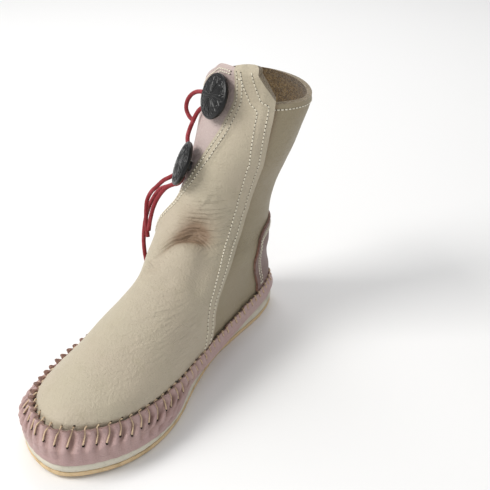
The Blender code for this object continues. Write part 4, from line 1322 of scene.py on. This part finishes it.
def lacing():
    """Cream lace from the vamp's holes over the raw edge to the wall's holes, and both rows of holes."""
    count = np.arange(LACE_STITCHES)
    places = (count + 0.5) / LACE_STITCHES
    toe = toe_share(places)
    above = VAMP_HOLE_DISTANCE / rise_per_section(places, np.full(LACE_STITCHES, 0.3))
    high, high_normal = upper_place(places, above)[:2]
    reaches = lace_reach(places) * (1.0 + LACE_UNEVEN * np.sin(2.9 * count) * np.sin(0.7 * count + 1.0))
    sway = 1.0 + 3.0 * LACE_UNEVEN * np.sin(1.7 * count + 0.5)
    low_places = places - LACE_SLANT / LACE_STITCHES * (0.4 + 0.6 * toe) * sway
    low, low_normal = below_edge(low_places, reaches)
    middle, middle_normal = below_edge((places + low_places) / 2.0, LACE_BEND * reaches)
    edge = wall_place(places, np.full(LACE_STITCHES, WALL_TOP))[0]
    out = level_out(places)
    keys = (
        high - high_normal * VAMP_SINK + out * 0.3 * LACE_HOLE,
        high + high_normal * 0.1 * LACE_THREAD + out * 0.75 * LACE_HOLE,
        edge + np.array([0.0, 0.0, 0.8 * LACE_THREAD]) - out * 0.4 * LACE_THREAD,
        middle + middle_normal * 0.9 * LACE_THREAD,
        low + low_normal * 0.5 * LACE_THREAD,
        low - low_normal * WALL_SINK,
    )
    shares = np.linspace(0.0, 1.0, LACE_SAMPLES)
    paths = [resample(smooth_line(path, 8), shares) for path in np.stack(keys, axis=1)]
    finished(new_piece("lacing_thread", *tubes(paths, LACE_THREAD), (LACE_FINISH,)), "pink_leather")
    # Rows of holes as dark dots of painted shade
    centres = np.concatenate([high + unit(high - edge) * 0.9 * LACE_HOLE, low])
    radii = np.tile(LACE_HOLE * (HOLE_LEAST + (1.0 - HOLE_LEAST) * toe), 2)
    holes = dots(centres, np.concatenate([high_normal, low_normal]), radii)
    finished(new_piece("lacing_holes", *holes, (HOLE_SHADE_FINISH,)), "pink_leather")


lacing()


# Sole and insole
def sole_slab(name, levels, made, slot, node, ripple=0.0):
    """Layer of the sole. levels: how far the outline is grown, and the height there."""
    places = np.arange(SOLE_SIDES) / SOLE_SIDES
    out = at_share(outward(SOLE_RING), places)
    rings = []
    for growth, height in levels:
        wave = np.sin(places * 411.0 + height * 900.0) * np.sin(places * 173.0 + 1.0)
        ring = at_share(grown(SOLE_RING, growth), places) + out * (ripple * wave)[:, None]
        rings.append(with_height(ring, height))
    left = np.arange(SOLE_SIDES // 2)
    right = -left % SOLE_SIDES
    cap = quads(right, right - 1, left + 1, left)
    cap = [list(dict.fromkeys(corner % SOLE_SIDES for corner in face)) for face in cap]
    cap = [face for face in cap if len(face) > 2]
    top = [[corner + (len(rings) - 1) * SOLE_SIDES for corner in face[::-1]] for face in cap]
    finished(new_piece(name, rings, bands(len(rings), SOLE_SIDES) + cap + top, (made,)), slot, node)


FOAM_FOOT = OUTSOLE + GAP
SOCK_FOOT = SOLE_TOP + 2.0 * GAP + WALL_LEATHER
SOCK_IN = LEDGE + WALL_LEATHER + 2.0 * GAP + INSOLE_CLEARANCE
sole_slab(
    "outsole_sheet",
    (
        (-0.0012, 0.0), (-0.0004, 0.0002), (0.0, 0.0009), (0.0001, 0.6 * OUTSOLE),
        (0.0, OUTSOLE), (-0.0004, OUTSOLE),
    ),
    rubber_finish(), "tan_rubber", "outsole", OUTSOLE_RIPPLE,
)
sole_slab(
    "midsole_foam",
    (
        (-0.0006, FOAM_FOOT - GAP), (0.0000, FOAM_FOOT + 0.0004), (0.0005, FOAM_FOOT + 0.30 * MIDSOLE),
        (0.0006, FOAM_FOOT + 0.55 * MIDSOLE), (0.0002, FOAM_FOOT + 0.80 * MIDSOLE),
        (-0.0006, SOLE_TOP - 0.0002), (-0.0016, SOLE_TOP),
    ),
    foam_finish(), "white_foam", "midsole", MIDSOLE_RIPPLE,
)
sole_slab(
    "insole_sock",
    ((-SOCK_IN, SOCK_FOOT), (-SOCK_IN, SOCK_FOOT + 0.7 * INSOLE), (-SOCK_IN - 0.0006, SOCK_FOOT + INSOLE)),
    SUEDE, "suede_lining", "insole",
)


# Pieces that lie on the upper
def lying(places, sections, lift, thickness):
    """Outside points, normals and underside points of a sheet that lies on the form."""
    base = form(places, sections)
    normal = normal_of(form, places, sections)
    low = base + normal * (lift - 0.5 * waviness(base)[..., None])
    return low + normal * thickness, normal, low


def heel_counter():
    """Pink counter over the centre back, standing on the laced seam."""
    lowest, highest = COUNTER[0][0], COUNTER[-1][0]
    levels = lowest + (highest - lowest) * np.linspace(0.0, 1.0, COUNTER_GRID[1]) ** 0.8
    reach = softened(look_up(COUNTER, levels), 5)
    places = 0.5 + reach[:, None] * np.linspace(-1.0, 1.0, COUNTER_GRID[0])
    outer, _, inner = counter_surface(places, np.broadcast_to(levels[:, None], places.shape))
    piece = shell("counter_leather", outer, inner, (COUNTER_SHADED_PINK, FLESH, BROWN_EDGE))
    finished(piece, "pink_leather", "heel_counter")


def counter_surface(places, sections):
    """Outside points, normals and underside points of the heel counter."""
    return lying(places, sections, LAY_GAP * COUNTER_LAY, COUNTER_LEATHER)


heel_counter()


def flap_grid(start, columns):
    """Places and sections of the flap, from its foot up and from a share of its width to its free edge."""
    shares = np.linspace(start, 1.0, columns)
    rows = np.linspace(0.0, 1.0, FLAP_GRID[1])[:, None]
    corner = np.clip((shares - (1.0 - FLAP_CORNER)) / FLAP_CORNER, 0.0, 1.0)
    drop = 1.0 - np.sqrt(1.0 - FLAP_CORNER_ROUND * corner**2)
    height = SHAFT_HEIGHT * softened(look_up(FLAP_TOP, shares)) - FLAP_CORNER_DROP * drop
    top = section_at(FLAP_END + (FREE_END - FLAP_END) * shares, height)
    foot = FLAP_FOOT_SEWN + (FLAP_FOOT_FREE - FLAP_FOOT_SEWN) * smooth_step(shares / FLAP_FOOT_CLIMB) + drop
    level = foot + (top - foot) * rows
    sewn = place_of(FLAP_COLUMN, level) + FLAP_START
    return sewn + (place_of(FREE_COLUMN, level) - sewn) * shares, level


def button_flap():
    """Pale pink flap, its sewn edge under the front panel's edge."""
    places, sections = flap_grid(0.0, FLAP_GRID[0])
    shares = np.linspace(0.0, 1.0, FLAP_GRID[0])
    lift = LAY_GAP * (0.25 + 0.75 * smooth_step(shares / 0.18))
    outer, _, inner = lying(places, sections, lift[:, None], FLAP_LEATHER)
    piece = shell("flap_leather", outer[:, ::-1], inner[:, ::-1], (PALE, SUEDE, EDGE))
    finished(piece, "pale_pink_leather", "button_flap")


button_flap()


# Buttons with a plain flower: petals, a cut line between them and a dot in each
def button_height(share, angle):
    """How deep the button's relief is cut, 0 to 1, at places of the unit disc."""
    petal = math.pi / PETALS
    spread = np.abs(np.mod(angle / (2.0 * petal), 1.0) - 0.5) * 2.0 * petal * share
    cut = bell(spread - petal * share, 0.030)
    vein = 0.6 * bell(spread, 0.020) * smooth_step(min(share - VEIN[0], VEIN[1] - share) / 0.06)
    leaf = 0.8 * bell(spread - LEAF * np.sin(min(share / FLOWER_END, 1.0) * math.pi), FLOWER_LINE)
    dot = bell(np.hypot(share - PETAL_DOT[0], spread), PETAL_DOT[1])
    flower = np.clip(cut + leaf + vein + dot, 0.0, 1.0) * smooth_step((FLOWER_END - share) / 0.03)
    rings = bell(share - OUTER_RING, FLOWER_LINE) + bell(share - HEART, FLOWER_LINE)
    return np.clip(flower + rings, 0.0, 1.0)


def button_axis(normal, turn, tilt):
    """Direction of a button's axis: the flap's normal turned to the outer side and tilted up, in degrees."""
    swing = math.atan2(-normal[0], -normal[1]) + math.radians(turn)
    rise = math.asin(normal[2]) + math.radians(tilt)
    return Vector((-math.sin(swing) * math.cos(rise), -math.cos(swing) * math.cos(rise), math.sin(rise)))


def button(name, around, section, turn, tilt, made):
    """Domed button with its relief, on a shank."""
    place = (np.array([around]), np.array([section]))
    normal = normal_of(form, *place)[0]
    lean = math.radians(max(abs(turn), abs(tilt)))
    shank = SHANK_DIAMETER / 2.0
    foot = form(*place)[0] + normal * (LAY_GAP + FLAP_LEATHER + 2.0 * GAP + shank * math.sin(lean))
    radius = BUTTON_DIAMETER / 2.0
    rim = SHANK_LENGTH + BUTTON_RIM
    angle = np.arange(BUTTON_SIDES) * 2.0 * math.pi / BUTTON_SIDES
    rings = []
    cuts = []
    for share in np.linspace(0.02, 0.955, BUTTON_RINGS):
        cuts.append(button_height(share, angle))
        dome = rim + (BUTTON_DOME - BUTTON_RIM) * math.sqrt(1.0 - share**2)
        rings.append((share * radius, dome - BUTTON_CUT * cuts[-1]))
    rings += [(share * radius, rim + height) for share, height in BUTTON_EDGE]
    rings += [(0.930 * radius, SHANK_LENGTH + 0.0001), (shank, SHANK_LENGTH), (shank, 0.0)]
    circle = np.stack([np.cos(angle), np.sin(angle)], axis=1)
    points = np.concatenate([with_height(circle * reach, height) for reach, height in rings])
    cut = np.zeros(len(points))
    cut[: BUTTON_RINGS * BUTTON_SIDES] = np.ravel(cuts)
    ends = [list(range(BUTTON_SIDES))[::-1], list(range(len(points) - BUTTON_SIDES, len(points)))]
    faces = [face[::-1] for face in bands(len(rings), BUTTON_SIDES) + ends]
    turned = np.array(button_axis(normal, turn, tilt).to_track_quat("Z", "Y").to_matrix())
    piece = new_piece(name + "_relief", points @ turned.T + foot, faces, (made,), cut=cut)
    finished(piece, "black_button", name)


BLACK = button_finish()
for button_name, *button_place in BUTTONS:
    button(button_name, *button_place, BLACK)


# Seams
def stitch_row(line, normals):
    """Stitches along a line of points: paths of the threads, and the needle holes with their normals."""
    length = lengths(line)
    count = int(length[-1] / STITCH_PITCH)
    starts = (np.arange(count) + 0.2) * length[-1] / count
    lifts = (np.array([-0.6, 0.35, 0.6, 0.35, -0.6]) * THREAD)[:, None]
    paths = []
    for start in starts:
        at = start + np.linspace(0.0, STITCH_LENGTH, len(lifts))
        paths.append(at_length(line, length, at) + at_length(normals, length, at) * lifts)
    holes = starts - 0.5 * (STITCH_PITCH - STITCH_LENGTH)
    return paths, at_length(line, length, holes), at_length(normals, length, holes)


def inset_line(edge, distance):
    """Line at a distance to the left of an edge, both as points in the flat."""
    step = np.gradient(edge, axis=0)
    moved = edge + unit(np.stack([-step[:, 1], step[:, 0]], axis=1)) * distance
    reach = np.linalg.norm(moved[:, None] - edge[None], axis=2).min(axis=1)
    moved = moved[reach > 0.97 * distance]
    return np.stack([softened(column) for column in moved.T], axis=1)


def inset_row(edge, distance, metres, samples):
    """Line of places and sections at a distance to the left of an edge of such. metres: their sizes there."""
    even = resample(edge * metres, np.linspace(0.0, 1.0, samples))
    return inset_line(even, distance) / metres


def counter_row(distance):
    """Line at a distance inside the counter's edge, from its outer foot over the top to its inner foot."""
    metres = metres_at(0.4, 4.5)
    outer = [(0.5 + reach, height) for height, reach in COUNTER]
    inner = [(0.5 - reach, height) for height, reach in COUNTER[::-1]]
    line = inset_row(smooth_line(outer + inner, 8), distance, metres, EDGE_SAMPLES)
    return line[line[:, 1] > COUNTER_ROW_START].T


def panel_row(distance, last_share):
    """Line up the lap and along the slanting top edge, at a distance inside the front panel's edges."""
    up = np.linspace(ROW_START, PANEL_TOP[-1], UP_SAMPLES)
    bend = RIM_START - 1.0
    low, high = up[up <= bend], up[up > bend]
    shares = np.linspace(1.0, 0.0, TOP_SAMPLES)[1:]
    rim = [FLAP_END + (LAP_END - FLAP_END) * shares, np.interp(shares, PANEL_SHARES, PANEL_TOP)]
    edge = np.concatenate([[place_of(LAP_COLUMN, high), high], rim], axis=1).T
    moved = inset_row(edge, distance, metres_at(0.0, TOP_SECTION - 0.5), BEND_SAMPLES)
    share = (moved[:, 0] - FLAP_END) / (LAP_END - FLAP_END)
    moved = moved[(share > last_share) | (moved[:, 1] < TOP_SECTION - 1.0)]
    lap = place_of(LAP_COLUMN, low)
    return np.concatenate([np.stack([lap - distance / metres_round(lap, low), low]), moved.T], axis=1)


def flap_seam_row(distance):
    """Line down the front panel's edge over the flap, at a distance inside it."""
    down = np.linspace(PANEL_TOP[0] - SEAM_DROP, SEAM_END, UP_SAMPLES)
    sewn = place_of(FLAP_COLUMN, down)
    return sewn + distance / metres_round(sewn, down), down


def rim_row(distance):
    """Line round the rear quarter at a distance below the collar's edge."""
    places = np.linspace(LAP_END + 0.012, FREE_END + 1.03, 200)
    top = np.interp((places - LAP_END) / (1.0 + FLAP_END - LAP_END), QUARTER_SHARES, QUARTER_TOP)
    return places, top - distance / rise_per_section(places, top - 0.5)


def flap_row(distance):
    """Line at a distance inside the flap's top and free edge."""
    grid = np.stack(flap_grid(0.06, FLAP_GRID[0]), axis=2)
    edge = np.concatenate([grid[-1], grid[-2:4:-1, -1]])
    return inset_row(edge, distance, metres_at(-0.09, 12.0), EDGE_SAMPLES).T


def seams():
    """All stitched rows in cream thread."""
    rows = [upper_place(*panel_row(*row)) for row in PANEL_ROWS]
    rows += [upper_place(*flap_seam_row(inset)) for inset in FLAP_SEAM_ROWS]
    rows.append(upper_place(*rim_row(RIM_ROW), lifted=False))
    rows += [counter_surface(*counter_row(inset)) for inset in COUNTER_ROWS]
    rows += [lying(*flap_row(inset), LAY_GAP, FLAP_LEATHER) for inset in FLAP_ROWS]
    paths, centres, sides = zip(*(stitch_row(*row[:2]) for row in rows))
    threads = tubes(np.concatenate(paths), THREAD, 6)
    finished(new_piece("seam_stitches", *threads, (THREAD_FINISH,)), "cream_leather")
    # Needle holes as dark dots of painted shade
    holes = dots(np.concatenate(centres), np.concatenate(sides), NEEDLE_HOLE)
    finished(new_piece("needle_holes", *holes, (HOLE_SHADE_FINISH,)), "cream_leather")


seams()


# Light, floor and surround
TARGET = (0.0, -0.09, 0.07)
LIGHTS = (
    # name, place, size, power, colour
    ("key", (-0.85, -0.80, 1.10), 0.75, 18.0, (1.0, 0.985, 0.96)),
    ("fill", (0.6, -1.2, 0.6), 1.0, 2.2, (1.0, 1.0, 1.0)),
    ("back", (-0.5, 0.8, 1.1), 0.9, 6.0, (1.0, 1.0, 1.0)),
)
SURROUND = 0.54
FLOOR_HALF = 6.0


def area_light(name, place, size, power, colour):
    """Soft square light that looks at the target."""
    data = bpy.data.lights.new(name, "AREA")
    data.shape = "SQUARE"
    data.size = size
    data.energy = power
    data.color = colour
    light = linked(name, data)
    light.location = place
    light.rotation_euler = (Vector(TARGET) - Vector(place)).to_track_quat("-Z", "Y").to_euler()


def studio():
    """Pale floor, a pale surround and soft lights from the upper left."""
    mesh = bpy.data.meshes.new("studio_floor")
    corners = [(x * FLOOR_HALF, y * FLOOR_HALF, 0.0) for x, y in ((-1, -1), (1, -1), (1, 1), (-1, 1))]
    mesh.from_pydata(corners, [], [(0, 1, 2, 3)])
    pale = Finish("pale_floor", (238.1, 238.1, 238.1), 0.9)
    pale.tint(pale.noise(3.0), (240.6, 240.6, 240.6), 0.5)
    mesh.materials.append(pale.made)
    linked("studio_floor", mesh)
    world = bpy.data.worlds.new("studio_surround")
    world.use_nodes = True
    background = world.node_tree.nodes["Background"]
    background.inputs["Color"].default_value = (1.0, 1.0, 1.0, 1.0)
    background.inputs["Strength"].default_value = SURROUND
    bpy.context.scene.world = world
    for light in LIGHTS:
        area_light(*light)
    bpy.context.scene.view_settings.view_transform = "Standard"


studio()
